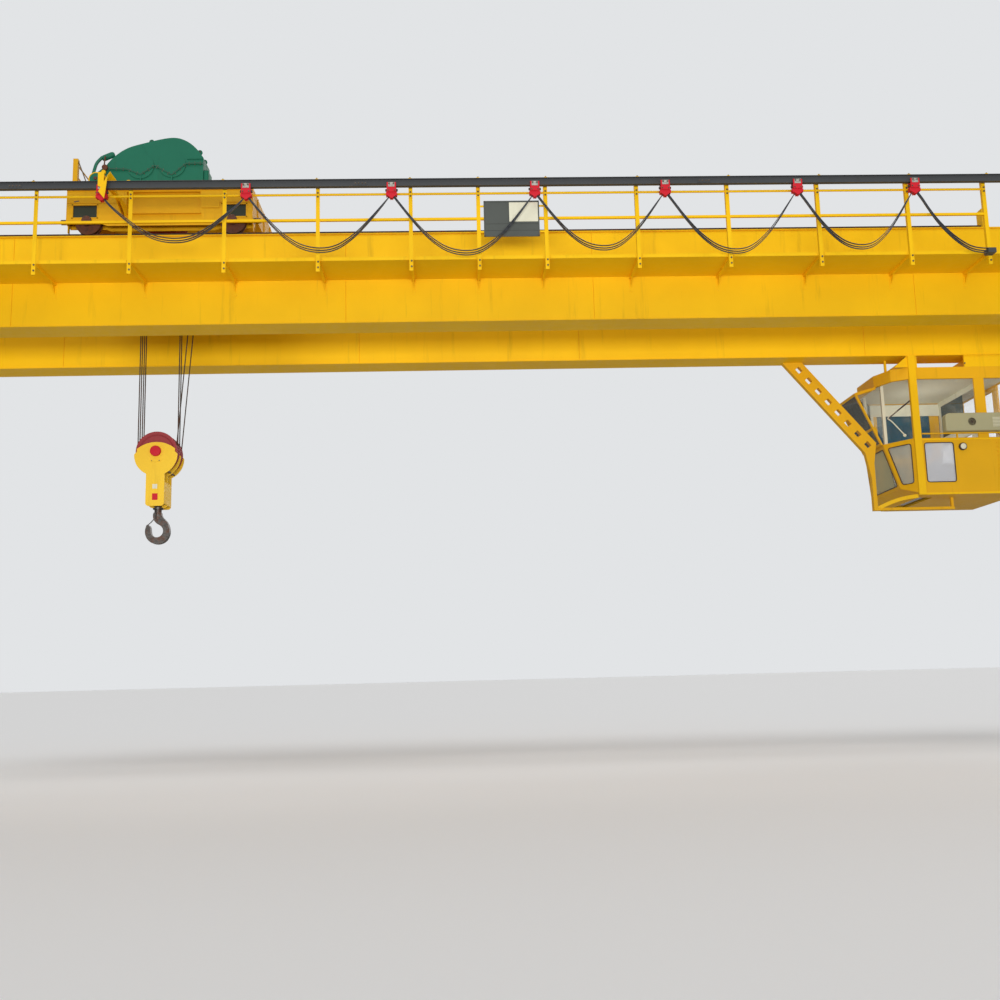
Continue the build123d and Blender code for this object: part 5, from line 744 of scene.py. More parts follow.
def build_sign_details():
    """Blank sign between two posts: a framed board, dividers, a pale blank plate, screws and hangers."""
    low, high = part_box("sign_board")
    face, back = low.y, high.y + 0.006
    left, right = SIGN_LEFT + SIGN_MARGIN, SIGN_RIGHT - SIGN_MARGIN
    bottom, top = low.z + SIGN_MARGIN, SIGN_TOP - SIGN_MARGIN
    outline = [(left, bottom), (right, bottom), (right, top), (left, top)]
    panel = soft_block((SIGN_LEFT, face, low.z), (SIGN_RIGHT, high.y, SIGN_TOP), 0.003)
    board = add_parts("sign_panel", [panel, rim(outline, "xz", face, 0.020, -0.006)], "sign_green")
    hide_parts("sign_board")
    strips = [block((x0, face - 0.005, z0), (x1, face, z1)) for x0, z0, x1, z1 in SIGN_STRIPS]
    add_parts("sign_dividers", strips, "sign_green")
    (x0, z0), (x1, z1) = SIGN_PLATE
    add_parts("sign_blank_plate", [block((x0, face - 0.004, z0), (x1, face, z1))], "cream_panel")
    hangers = []
    for z in HANGER_ZS:
        for x0, x1 in ((HANGER_POSTS[0], SIGN_LEFT + 0.05), (SIGN_RIGHT - 0.05, HANGER_POSTS[1])):
            hangers.append(bar((x0, back, z), (x1, back, z), 0.010, 0.030))
    add_parts("sign_hangers", hangers, "girder_paint")
    places = [(x, face - 0.006, z) for x in (left, right) for z in (bottom, top)]
    add_bolts("sign_screws", [bolts(places, NEAR, 0.014)])


# Festoon hardware: joint plates and bolts along the track; pins, covers, clamps and bumpers on the carriers
TRACK_SEAMS = (-7.0, -1.5, 4.1)
TRACK_FACE = 0.009
ARM_BOLT_ZS = (1.185, 1.25)
CARRIER_FACE = 0.055
COVER_DEPTH = 0.008
COVER_HALF = 0.052
COVER_ZS = (1.272, 1.349)
PIN_Z = 1.3257
LOW_PIN_Z = 1.215
BUMPER_Z = 1.235
BUMPER = [(0, 0.022), (0.012, 0.024), (0.022, 0.02), (0.026, 0.012)]
CLAMP_REACHES = (0.016, 0.078)
CLAMP_HALF = 0.044


def build_track_details():
    low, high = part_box("festoon_track")
    heads, splices = [], []
    for post in NEAR_POSTS:
        heads.append(bolts([(post, -POST_FACE - 0.008, z) for z in ARM_BOLT_ZS], NEAR, 0.024))
        for side in SIDES:
            heads.append(bolts([(post, TRACK_Y + side * 0.026, high.z + 0.008)], UP, 0.02))
    for seam in TRACK_SEAMS:
        for side in SIDES:
            face = TRACK_Y + side * TRACK_FACE
            splices.append(block((seam - 0.11, TRACK_Y + side * 0.0026, low.z + 0.03),
                                 (seam + 0.11, face, high.z - 0.03)))
            heads.append(bolts([(seam + x, face, (low.z + high.z) / 2) for x in (-0.08, -0.03, 0.03, 0.08)],
                               (0, side, 0), 0.018))
    for end in (low.x, high.x):
        splices.append(block((end - 0.006, TRACK_Y - 0.05, low.z - 0.03),
                             (end + 0.006, TRACK_Y + 0.05, high.z)))
    add_bolts("track_bolts", heads)
    add_parts("track_splices", splices, "track_steel")


def build_carrier_details(name):
    station = carrier_station(name)
    pins, clamps, bumpers, covers = [], [], [], []
    for side in SIDES:
        face = TRACK_Y + side * CARRIER_FACE
        covers.append(soft_block((station - COVER_HALF, face, COVER_ZS[0]),
                                 (station + COVER_HALF, face + side * COVER_DEPTH, COVER_ZS[1]), 0.003))
        pins.append(bolts([(station + x, face + side * 0.006, PIN_Z) for x in (-0.035, 0.035)],
                          (0, side, 0), 0.022))
        pins.append(bolts([(station + x, face, LOW_PIN_Z) for x in (-0.05, 0.05)], (0, side, 0), 0.018))
        bumpers.append(lathe(BUMPER, (station + side * 0.075, TRACK_Y, BUMPER_Z), (side, 0, 0), 14))
        for reach in CLAMP_REACHES:
            x = station + side * reach + side * sin(SADDLE_SLOPE) * 0.004
            z = SADDLE_LOW + reach * tan(SADDLE_SLOPE) - cos(SADDLE_SLOPE) * 0.004
            clamps.append(bar((x, TRACK_Y - CLAMP_HALF, z), (x, TRACK_Y + CLAMP_HALF, z), 0.012, 0.012))
    add_bolts(name + "_pins", pins, name)
    add_parts(name + "_clamps", clamps, "carrier_red", name)
    add_parts(name + "_covers", covers, "rail_steel", name, "zinc_plate")
    add_parts(name + "_bumpers", bumpers, "buffer_rubber", name)


def motor_shell(centre, axis, radius, length, fins=20):
    """A finned motor body with a fan cover at its far end."""
    axis, across, up = square_to(axis)
    centre = Vector(centre)
    parts = [lathe([(0, radius * 0.80), (0.02, radius * 0.96), (0.05, radius * 0.96), (0.055, radius * 0.86),
                    (length * 0.72, radius * 0.86), (length * 0.725, radius), (length * 0.97, radius),
                    (length, radius * 0.9), (length, radius * 0.3)], centre, axis, 28)]
    for step in range(fins):
        turn = tau * step / fins
        out = across * cos(turn) + up * sin(turn)
        size = (radius * 0.17, 0.008) if abs(out.dot(up)) > 0.7 else (0.008, radius * 0.17)
        foot = centre + out * radius * 0.91
        parts.append(bar(foot + axis * 0.06, foot + axis * length * 0.71, *size))
    return parts


# End trucks: bearing caps, buffer plates, rail sweeps, inspection covers and the drives' motors
TRUCK_X = 11.25
TRUCK_HALF = 0.225
WHEEL_Y = 2.3
WHEEL_Z = 0.35
BUFFER_Y = 2.9
BUFFER_Z = 0.69
SWEEP_Y = 2.74
HATCH_Z = 0.59
HATCH_YS = (-1.5, 0.0, 1.5)
HATCH_HALF = 0.17
BEARING_CAP = [(0, 0.095), (0.014, 0.095), (0.02, 0.088), (0.022, 0.03)]
BEARING_BOLT_CIRCLE = 0.112
BUFFER_PLATE_HALF = 0.13
TOP_BAR_Y = 2.6
TOP_BAR_Z = 0.955
GEAR_INSET = 0.095
DRIVE_RADIUS = 0.12


def build_truck_details():
    heads, plates, shells, caps, sweeps = [], [], [], [], []
    drive_low, drive_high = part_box("bridge_drives")
    for side in SIDES:
        centre = side * TRUCK_X
        for end in SIDES:
            for face in SIDES:
                hub = (centre + face * (TRUCK_HALF + 0.05), end * WHEEL_Y, WHEEL_Z)
                caps.append(lathe(BEARING_CAP, hub, (face, 0, 0), 24))
                heads.append(bolts(round_places(hub, RIGHT, BEARING_BOLT_CIRCLE, 8, 0.5), (face, 0, 0), 0.02))
            y = end * BUFFER_Y
            face = y + end * 0.02
            plates.append(block((centre - BUFFER_PLATE_HALF, y, BUFFER_Z - BUFFER_PLATE_HALF),
                                (centre + BUFFER_PLATE_HALF, face, BUFFER_Z + BUFFER_PLATE_HALF)))
            places = [(centre + x, face, BUFFER_Z + z) for x in (-0.1, 0.1) for z in (-0.1, 0.1)]
            heads.append(bolts(places, (0, end, 0), 0.026))
            y = end * SWEEP_Y
            sweeps.append(block((centre - 0.16, y, 0.04), (centre + 0.16, end * 2.76, 0.30)))
            rib = [(y, 0.26), (y, 0.06), (end * 2.62, 0.24)]
            sweeps.append(outlined(rib, "yz", centre - 0.006, centre + 0.006))
        inner = centre - side * TRUCK_HALF
        face = centre - side * (TRUCK_HALF + 0.006)
        for spot in HATCH_YS:
            plates.append(soft_block((inner, spot - HATCH_HALF, HATCH_Z - HATCH_HALF),
                                     (face, spot + HATCH_HALF, HATCH_Z + HATCH_HALF), 0.002))
            places = [(face, spot + y, HATCH_Z + z) for y in (-0.14, 0.14) for z in (-0.14, 0, 0.14)]
            heads.append(bolts(places, (-side, 0, 0), 0.016))
        for y in (-TOP_BAR_Y, TOP_BAR_Y):
            plates.append(bar((centre - 0.2, y, TOP_BAR_Z), (centre + 0.2, y, TOP_BAR_Z), 0.05, 0.01))
        gear_x = drive_low.x + GEAR_INSET if side < 0 else drive_high.x - GEAR_INSET
        top = WHEEL_Z + 0.26
        shells += motor_shell((gear_x, 2.15, top), NEAR, DRIVE_RADIUS, 0.40)
        shells.append(soft_block((gear_x - 0.05, 1.86, top + 0.10), (gear_x + 0.05, 2.0, top + 0.17), 0.006))
        heads.append(bolts(round_places((gear_x - side * GEAR_INSET, WHEEL_Y, WHEEL_Z), RIGHT, 0.1, 6),
                           (-side, 0, 0), 0.02))
    add_parts("truck_bearing_caps", caps, "wheel_steel")
    add_parts("truck_plates", plates, "girder_paint")
    add_parts("truck_rail_sweeps", sweeps, "girder_paint")
    add_bolts("truck_bolts", heads)
    add_parts("bridge_drive_motors", shells, "machine_green")


# Hoist ropes: eight twisted falls, the turns on the drum and the wraps round the sheaves
BLOCK = Vector((-5.30, 0, -2.52))
UPPER = Vector((-5.31, 0, 1.70))
DRUM = Vector((-4.92, 0, 2.50))
GROOVE = 0.3323
DRUM_GROOVE = 0.3303
DRUM_TURNS = ((-0.395, -0.165), (0.165, 0.985))
DRUM_PITCH = 0.0225
ROPE_RADIUS = 0.010
ROPE_STATIONS = [-0.172, -0.062, 0.062, 0.172]
STRANDS = 6
STRAND_REACH = ROPE_RADIUS * 1.06
LAY_LENGTH = 0.14
STEPS_PER_LAY = 8


def fall_ends(top, top_radius, side, station):
    """The straight line that leaves a block sheave and an upper wheel on this side."""
    rise = top - BLOCK
    lean = atan2(rise.x, rise.z) + side * asin((top_radius - GROOVE) / rise.length)
    across = Vector((side * cos(lean), 0, -side * sin(lean)))
    shift = Vector((0, station, 0))
    return BLOCK + across * GROOVE + shift, top + across * top_radius + shift


def rope(path):
    """Wire rope along a path: six strands that wind round the core."""
    path = [Vector(p) for p in path]
    lengths = [0.0]
    for a, b in zip(path, path[1:]):
        lengths.append(lengths[-1] + (b - a).length)
    steps = max(2, int(lengths[-1] / LAY_LENGTH * STEPS_PER_LAY))
    places, winds, index = [], [], 0
    for goal in spread(0, lengths[-1], steps + 1):
        while index < len(path) - 2 and lengths[index + 1] < goal:
            index += 1
        share = (goal - lengths[index]) / (lengths[index + 1] - lengths[index])
        places.append(path[index].lerp(path[index + 1], share))
        winds.append(tau * goal / LAY_LENGTH)
    section = []
    for (a, b), (c, d) in zip(circle(STRAND_REACH, STRANDS), circle(STRAND_REACH, 2 * STRANDS)[1::2]):
        section += [(a, b), (0.76 * c, 0.76 * d)]
    return swept(places, section, winds=winds)


def arc(centre, start, end, y, steps=24):
    """Points round a sheave's groove in the XZ plane, angles in degrees from +X towards +Z."""
    turns = [radians(start + (end - start) * step / steps) for step in range(steps + 1)]
    return [(centre.x + GROOVE * cos(turn), y, centre.z + GROOVE * sin(turn)) for turn in turns]


def build_ropes():
    falls, drum_falls, under, over, turns = [], [], [], [], []
    for station in ROPE_STATIONS:
        falls.append(rope(fall_ends(UPPER, GROOVE, -1, station)[::-1]))
        if abs(station) > 0.1:
            drum_falls.append(rope(fall_ends(DRUM, DRUM_GROOVE, 1, station)[::-1]))
        else:
            falls.append(rope(fall_ends(UPPER, GROOVE, 1, station)[::-1]))
        under.append(rope(arc(BLOCK, 183, 357, station)))
        over.append(rope(arc(UPPER, -2, 182, station)))
    for start, end in DRUM_TURNS:
        steps = int(abs(end - start) / DRUM_PITCH) * 32
        path = []
        for step in range(steps + 1):
            turn = tau * step / 32
            path.append((DRUM.x + DRUM_GROOVE * cos(turn), start + (end - start) * step / steps,
                         DRUM.z + DRUM_GROOVE * sin(turn)))
        turns.append(swept(path, circle(ROPE_RADIUS, 6)))
    for name, shapes, wheel in (("hoist_rope_falls", falls, (UPPER, GROOVE, -1)),
                                ("drum_rope_falls", drum_falls, (DRUM, DRUM_GROOVE, 1))):
        made = add_parts(name, shapes, "rope_steel", None, smooth=50)
        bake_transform(made)
        if name == "hoist_rope_falls":
            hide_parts("hoist_ropes")
    add_parts("upper_rope_wraps", over, "rope_steel", "trolley", smooth=50)
    add_parts("drum_rope_turns", turns, "rope_steel", "trolley", smooth=60)
    add_parts("block_rope_wraps", under, "rope_steel", "hook_block", smooth=50)


# Trolley: frame edges and plates, dark plates of painted shade in the wheel openings, deck sheets, handrail
# bases and stay rods
TROLLEY_LOW, TROLLEY_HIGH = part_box("trolley_frame")
TROLLEY_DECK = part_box("trolley_deck")[1].z
AXLE_Z = 1.2843
AXLES = (-6.265, -3.805)
AXLE_CAP = [(0, 0.084), (0.026, 0.084), (0.034, 0.076), (0.036, 0.02)]
AXLE_BOLT_CIRCLE = 0.066
WHEEL_GAPS = ((-6.5, -6.1), (-3.97, -3.57))
GAP_LOW = 1.333
GAP_TOP = 1.572
SHADE_ZS = (1.325, 1.58)
FRAME_PLATES = (((-5.62, 1.388), (-4.33, 1.402), 0.045), ((-6.615, 1.828), (-3.455, 1.85), 0.03),
                ((-4.33, 1.50), (-4.02, 1.822), 0.010), ((-4.02, 1.60), (-3.47, 1.822), 0.010),
                ((-6.60, 1.60), (-5.64, 1.822), 0.006))
DECK_SHEETS = (((-6.61, 0.46), (-5.80, 1.32)), ((-5.79, 0.46), (-4.62, 1.32)), ((-4.61, 0.46), (-3.46, 1.32)),
               ((-4.45, -1.32), (-3.46, 0.44)), ((-6.61, -0.20), (-5.80, 0.45)))
POST_YS = (-1.225, 0.0, 1.225)
FOOT_PLATE_HALF = 0.07
DECK_POST = [(0, 0.05), (0.15, 0.055), (0.185, 0.045), (0.2, 0.02)]
DECK_POST_PLACE = (-5.70, -1.2, TROLLEY_DECK)


def build_trolley_details():
    plates, heads, caps, sheets, rods, shades = [], [], [], [], [], []
    for side in SIDES:
        face = side * abs(TROLLEY_LOW.y)
        for left, right in WHEEL_GAPS:
            x0, x1 = left - 0.012, right + 0.012
            opening = [(x0, GAP_LOW), (x1, GAP_LOW), (x1, GAP_TOP), (x0, GAP_TOP)]
            plates.append(rim(opening, "xz", face, 0.018, side * 0.006))
            # A dark plate just inside each wheel opening: painted shade for the dark inside of the frame
            shades.append(block((left - 0.02, face - side * 0.014, SHADE_ZS[0]),
                                (right + 0.02, face - side * 0.018, SHADE_ZS[1])))
        for (x0, z0), (x1, z1), depth in FRAME_PLATES:
            plates.append(block((x0, face, z0), (x1, face + side * depth, z1)))
        for axle in AXLES:
            caps.append(lathe(AXLE_CAP, (axle, face, AXLE_Z), (0, side, 0), 28))
            places = round_places((axle, face + side * 0.027, AXLE_Z), FAR, AXLE_BOLT_CIRCLE, 6, 0.5)
            heads.append(bolts(places, (0, side, 0), 0.016))
    for end, x in ((-1, TROLLEY_LOW.x), (1, TROLLEY_HIGH.x)):
        for y in (-0.9, -0.3, 0.3, 0.9):
            plates.append(block((x, y - 0.006, 1.45), (x + end * 0.02, y + 0.006, 1.84)))
    for low, high in DECK_SHEETS:
        sheets.append(block((*low, TROLLEY_DECK - 0.0005), (*high, TROLLEY_DECK + SHEET_RISE)))
    rail_low, rail_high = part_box("trolley_handrail")
    post_x = (rail_low.x + rail_high.x) / 2
    base = TROLLEY_DECK + 0.012
    for y in POST_YS:
        plates.append(soft_block((post_x - FOOT_PLATE_HALF, y - FOOT_PLATE_HALF, TROLLEY_DECK),
                                 (post_x + FOOT_PLATE_HALF, y + FOOT_PLATE_HALF, base), 0.002))
        places = [(post_x + a, y + b, base) for a in (-0.054, 0.054) for b in (-0.054, 0.054)]
        heads.append(bolts(places, UP, 0.016))
        if y:
            rods.append(rod((post_x + 0.04, y, 2.41), (-6.27, y, TROLLEY_DECK), 0.009))
    plates.append(lathe(DECK_POST, DECK_POST_PLACE, UP, 20))
    handle_y = TROLLEY_LOW.y - 0.004
    rods.append(bar((-6.49, handle_y, 1.625), (-6.40, handle_y, 1.640), 0.008, 0.018))
    # The frame's plates take the trolley's darker yellow, which is painted shade
    add_parts("trolley_frame_plates", plates, "girder_paint", "trolley", "trolley_shaded_paint")
    add_parts("trolley_wheel_shades", shades, "girder_paint", "trolley", "wheel_shade")
    add_parts("trolley_deck_sheets", sheets, "girder_paint", "trolley", "tread_plate")
    add_parts("trolley_axle_caps", caps, "wheel_steel", "trolley")
    add_bolts("trolley_bolts", heads, "trolley")
    add_parts("trolley_stay_rods", rods, "rail_steel", "trolley", "bolt_steel")


LEAF = [(-5.500, 1.470), (-5.640, 1.200), (-5.545, 1.080), (-5.525, 1.220)]
LEAF_END = [(-5.655, 1.30), (-5.655, 1.53), (-5.56, 1.53), (-5.56, 1.34), (-5.60, 1.27)]
BOX_SIDES = [(0, 1, 2, 3), (7, 6, 5, 4), (0, 4, 5, 1), (1, 5, 6, 2), (2, 6, 7, 3), (3, 7, 4, 0)]


def build_tow_details():
    """The folded plate over the tow arm's end: a bright leaf in front of the track and a leaf behind it."""
    arm_low, arm_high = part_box("tow_arm")
    front = arm_low.y
    back = [(-5.500, front + 0.10, 1.590), (-5.400, -2.36, 1.445), (-5.585, -2.36, 1.445),
            (-5.515, front - 0.01, 1.46)]
    inner = [(x + 0.004, y + 0.004, z - 0.010) for x, y, z in back]
    parts = [outlined(LEAF, "xz", front - 0.012, front - 0.002),
             outlined(LEAF_END, "xz", front - 0.002, front), (back + inner, BOX_SIDES)]
    add_parts("tow_leaf", parts, "girder_paint", "trolley", smooth=20)
    pins = [(-5.62, y, arm_high.z) for y in (-2.5, -2.2, -1.45)]
    add_bolts("tow_bolts", [bolts(pins, UP, 0.022)], "trolley")


# Gear reducer: joint bolts and a dark strip of painted shadow under the joint; seam, lugs, breather, foot
# bolts, oil plug
GEAR_FACE = -1.05
GEAR_BACK = -0.57
JOINT_LINE = [(-6.06, 2.375), (-5.70, 2.362), (-5.455, 2.26), (-5.215, 2.43), (-4.92, 2.248), (-4.67, 2.46),
              (-4.38, 2.465)]
JOINT_BOLT_STEP = 0.11
FLANGE_DEPTH = 0.030
SEAM = ((-5.475, 2.822), (-5.215, 2.43))
LUGS = ((-5.30, 2.868), (-4.455, 2.665))
BREATHER = [(0, 0.03), (0.05, 0.03), (0.055, 0.055), (0.085, 0.05), (0.095, 0.03)]
BREATHER_PLACE = (-4.86, -0.64, 2.925)
GEAR_FEET = (-6.2, -5.6, -5.0, -4.5)


def build_reducer_details():
    heads, green, dark = [], [], []
    for (x0, z0), (x1, z1) in zip(JOINT_LINE, JOINT_LINE[1:]):
        length = hypot(x1 - x0, z1 - z0)
        along = Vector(((x1 - x0) / length, 0, (z1 - z0) / length))
        out = Vector((-along.z, 0, along.x))
        count = max(2, round(length / JOINT_BOLT_STEP))
        for y in (GEAR_FACE - 0.0125, GEAR_BACK + 0.0125):
            spots = [Vector((x0, y, z0)) + along * length * (step + 0.5) / count for step in range(count)]
            heads.append(bolts(spots, out, 0.017))
            heads.append(bolts([spot - out * FLANGE_DEPTH for spot in spots], -out, 0.017))
        # Dark strips just under the joint line: painted shadow under the flange
        for y in (GEAR_FACE - 0.025, GEAR_BACK + 0.025):
            dark.append(bar((x0, y, z0 - 0.015), (x1, y, z1 - 0.015), 0.005, 0.006))
    green.append(bar(*[(x, GEAR_FACE - 0.001, z) for x, z in SEAM], 0.008, 0.006))
    green.append(bar((-4.66, GEAR_FACE - 0.006, 2.536), (-4.385, GEAR_FACE - 0.006, 2.541), 0.02, 0.014))
    for x, z in LUGS:
        for y in (GEAR_FACE + 0.06, GEAR_BACK - 0.06):
            green.append(lathe([(-0.011, 0.045), (0.011, 0.045)], (x, y, z + 0.02), FAR, 20))
            dark.append(lathe([(-0.012, 0.02), (0.012, 0.02)], (x, y, z + 0.028), FAR, 14))
    green.append(soft_block((-4.40, -1.00, 1.90), (-4.30, -0.72, 2.36), 0.02))
    green.append(lathe(BREATHER, BREATHER_PLACE, UP, 18))
    for foot in GEAR_FEET:
        heads.append(bolts([(foot, GEAR_FACE - 0.032, TROLLEY_DECK + 0.03)], UP, 0.026))
    dark.append(lathe([(0, 0.022), (0.008, 0.022), (0.012, 0.016)], (-6.0, GEAR_FACE, 2.02), NEAR))
    add_parts("reducer_fittings", green, "machine_green", "trolley")
    add_bolts("reducer_bolts", heads, "trolley")
    add_parts("reducer_dark_plugs_and_joint_shadows", dark, "buffer_rubber", "trolley")


MOTOR_X = -6.19
MOTOR_Z = 2.12
BRAKE_HUB = Vector((MOTOR_X, -1.08, MOTOR_Z))
BRAKE_DISC = [(0, 0.05), (0.03, 0.05), (0.032, 0.112), (0.09, 0.112), (0.092, 0.05), (0.11, 0.05)]
THRUSTER = [(0, 0.03), (0.012, 0.046), (0.05, 0.052), (0.19, 0.052), (0.225, 0.04), (0.235, 0.02)]
THRUSTER_PLACE = (-6.16, -0.98, 2.585)
MOTOR_RADIUS = 0.222
MOTOR_FOOT_Z = 1.8925
SHEAVE_BEARING = [(0, 0.075), (0.012, 0.075), (0.016, 0.068)]
BRAKE_LEVER = [(-6.30, -1.11, TROLLEY_DECK), (-6.26, -1.11, 2.25), (-6.22, -1.08, 2.46), (-6.14, -1.02, 2.60)]


def build_hoist_details():
    """Brake on the input shaft, the motor's fins and covers, and the drum's and sheaves' bearings."""
    green, steel, yellow, heads = [], [], [], []
    green.append(lathe(BRAKE_DISC, BRAKE_HUB, NEAR, 36))
    yellow.append(ring(BRAKE_HUB + Vector((0, -0.04, 0)), NEAR, 0.110, 0.126, 0.055, 48))
    steel.append(lathe([(0.105, 0.03), (0.13, 0.03), (0.135, 0.024)], BRAKE_HUB, NEAR, 20))
    green.append(swept(bent(BRAKE_LEVER, 0.07), oblong(0.034, 0.044)))
    green.append(lathe(THRUSTER, THRUSTER_PLACE, (1, 0, 0.42), 24))
    steel.append(lathe([(0, 0.05), (0.04, 0.05), (0.045, 0.04)], (-6.07, -1.07, 2.37), NEAR, 24))
    yellow.append(lathe([(0, 0.038), (0.03, 0.038), (0.036, 0.03)], (-6.09, -1.07, 2.285), NEAR, 20))
    steel.append(rod((-6.07, -1.09, 2.58), (-6.10, -1.09, 2.20), 0.012))
    low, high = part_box("hoist_motor")
    green += motor_shell((MOTOR_X, low.y - 0.004, MOTOR_Z), FAR, MOTOR_RADIUS, high.y - low.y + 0.02, 28)
    green.append(soft_block((-6.02, -0.16, MOTOR_Z - 0.09), (-5.90, 0.10, MOTOR_Z + 0.09), 0.01))
    heads.append(bolts([(-5.90, y, MOTOR_Z + z) for y in (-0.14, 0.08) for z in (-0.07, 0.07)], RIGHT, 0.012))
    steel.append(ring((MOTOR_X, 0.02, MOTOR_Z + 0.255), FAR, 0.018, 0.036, 0.014, 20))
    places = [(MOTOR_X + x, y, MOTOR_FOOT_Z) for x in (-0.14, 0.14) for y in (-0.25, 0.33)]
    heads.append(bolts(places, UP, 0.022))
    end = Vector((DRUM.x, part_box("hoist_drum")[1].y, DRUM.z))
    heads.append(bolts([(end.x + x, end.y - 0.08, TROLLEY_DECK + 0.002) for x in (-0.19, 0.19)], UP, 0.03))
    steel.append(lathe([(0, 0.10), (0.02, 0.10), (0.028, 0.09), (0.03, 0.02)], end, FAR, 28))
    heads.append(bolts(round_places(end + Vector((0, 0.02, 0)), FAR, 0.08, 6), FAR, 0.014))
    for side in SIDES:
        y = side * 0.33
        steel.append(lathe(SHEAVE_BEARING, (UPPER.x, y, UPPER.z), (0, side, 0), 24))
        places = [(UPPER.x + x, y + side * 0.02, TROLLEY_DECK + 0.06) for x in (-0.06, 0.06)]
        heads.append(bolts(places, UP, 0.022))
    add_parts("hoist_motor_shell", green, "machine_green", "trolley")
    add_parts("hoist_brake_parts", steel, "wheel_steel", "trolley")
    add_parts("hoist_brake_rim", yellow, "girder_paint", "trolley")
    add_bolts("hoist_bolts", heads, "trolley")


# Hook block: axle caps, cheek crowns, keepers, spacer rods and bare plates, and the hook's latch and collar
CHEEK_FACE = 0.239
BLOCK_CAP = [(0, 0.092), (0.046, 0.092), (0.055, 0.084), (0.058, 0.066), (0.060, 0.01)]
CROWN_YS = (0.2315, 0.2385)
CROWN_HALF = 0.33
CROWN_CENTRES = ((-2.875, 0.52), (-2.58, 0.375))
CHEEK_CENTRE_Z = -2.93
CHEEK_RADIUS = 0.52
KEEPER_Z = BLOCK.z - 0.170
SPACER_TURNS = (-125, -90, -55)
SPACER_CIRCLE = 0.35
SPACER_HALF = 0.232
LATCH_LINE = ((0.058, 0.235), (0.118, 0.165), (0.172, 0.118))
COLLAR_Z = -3.522
PLATE_YS = (-0.242, -0.239)
HOOK_Z = -3.91


def arch(centre_z, radius, x):
    """The height over x of a circle about the block's middle."""
    return centre_z + sqrt(radius ** 2 - x * x)


def build_block_details():
    yellow, heads, rods, caps, crowns = [], [], [], [], []
    for side in SIDES:
        cheek = side * CHEEK_FACE
        caps.append(lathe(BLOCK_CAP, BLOCK + Vector((0, cheek, 0)), (0, side, 0), 36))
        high, low = [], []
        for x in spread(-CROWN_HALF, CROWN_HALF, 25):
            bottom = arch(CHEEK_CENTRE_Z, CHEEK_RADIUS, x) - 0.010
            top = min(arch(*crown, x) for crown in CROWN_CENTRES)
            high.append((BLOCK.x + x, max(top, bottom + 0.002)))
            low.append((BLOCK.x + x, bottom))
        crowns.append(outlined(high + low[::-1], "xz", side * CROWN_YS[0], side * CROWN_YS[1]))
        out = cheek + side * 0.010
        yellow.append(soft_block((BLOCK.x - 0.09, cheek, KEEPER_Z - 0.02),
                                 (BLOCK.x + 0.09, out, KEEPER_Z + 0.02), 0.003))
        heads.append(bolts([(BLOCK.x + x, out, KEEPER_Z) for x in (-0.065, 0.065)], (0, side, 0), 0.014))
    for turn in SPACER_TURNS:
        x = BLOCK.x + SPACER_CIRCLE * cos(radians(turn))
        z = BLOCK.z - 0.06 + SPACER_CIRCLE * sin(radians(turn))
        rods.append(rod((x, -SPACER_HALF, z), (x, SPACER_HALF, z), 0.018, 14))
    add_parts("block_keepers", yellow, "girder_paint", "hook_block", "block_paint")
    add_parts("block_axle_caps", caps, "carrier_red", "hook_block")
    add_parts("block_cheek_crowns", crowns, "girder_paint", "hook_block", "block_paint")
    add_bolts("block_bolts", heads, "hook_block")
    add_parts("block_spacers", rods, "hook_steel", "hook_block")
    for name, paint, right, bottom, top in (("block_blank_plate", "cream_panel", 0.04, -3.185, -3.105),
                                            ("block_red_plate", "carrier_red", 0.05, -3.385, -3.270)):
        plate = block((BLOCK.x - 0.045, PLATE_YS[0], bottom), (BLOCK.x + right, PLATE_YS[1], top))
        add_parts(name, [plate], paint, "hook_block")
    tongue = [(BLOCK.x - x, 0, HOOK_Z + z) for x, z in LATCH_LINE]
    latch = [swept(tongue, oblong(0.036, 0.006)),
             lathe([(-0.04, 0.012), (0.04, 0.012)], (BLOCK.x - 0.056, 0, HOOK_Z + 0.236), FAR, 14)]
    add_parts("hook_latch", latch, "hook_steel", "crane_hook")
    collar = lathe([(0, 0.085), (0.02, 0.09), (0.03, 0.09)], (BLOCK.x, 0, COLLAR_Z), UP, 28)
    add_parts("hook_collar", [collar], "hook_steel", "crane_hook")


# Cabin: gaskets round the panes, a wiper, lamp, hinges, curved foot bar, header and hanger bolts
CABIN_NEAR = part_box("cabin_roof")[0].y
CABIN_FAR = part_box("cabin_roof")[1].y
CABIN_MIDDLE = (CABIN_NEAR + CABIN_FAR) / 2
CABIN_REAR = 10.75
SIDE_FRONT = 8.71
FRONT = 8.33
BELT = -2.29
FLOOR = -3.37
CHIN_Z = -3.20
CHIN_X = 8.50
FRONT_HALF = 0.49
WINDOW_LEFT = 8.83
WINDOW_RIGHT = 9.54
GASKET_INSET = 0.074
GASKET_BEND = 0.055
GASKET_RADIUS = 0.009
LAMP = Vector((9.635, CABIN_NEAR, -2.451))
LAMP_BODY = [(0, 0.072), (0.05, 0.072), (0.056, 0.064)]
LAMP_FACE = [(0.05, 0.058), (0.062, 0.054), (0.072, 0.034), (0.076, 0.01)]
HANGER_XS = (8.70, 8.86)
HANGER_BOLT_Z = -0.652
FAN_CIRCLES = (0.03, 0.048, 0.066)
HEADER_LOW = -1.36
FOOT = Vector((8.02, 1.35, -3.575))
FOOT_RISE = Vector((0.02, 0, 0.055))
HINGE_ZS = (-3.1, -2.6, -1.5)
HEADER_TOP = -1.112
WIPER = [(8.61, 1.087, -2.18), (8.463, 1.304, -1.85), (8.411, 1.381, -1.77), (8.54, 1.19, -1.66)]
BLADE = [(8.42, 1.37, -1.775), (8.70, 0.95, -1.53)]


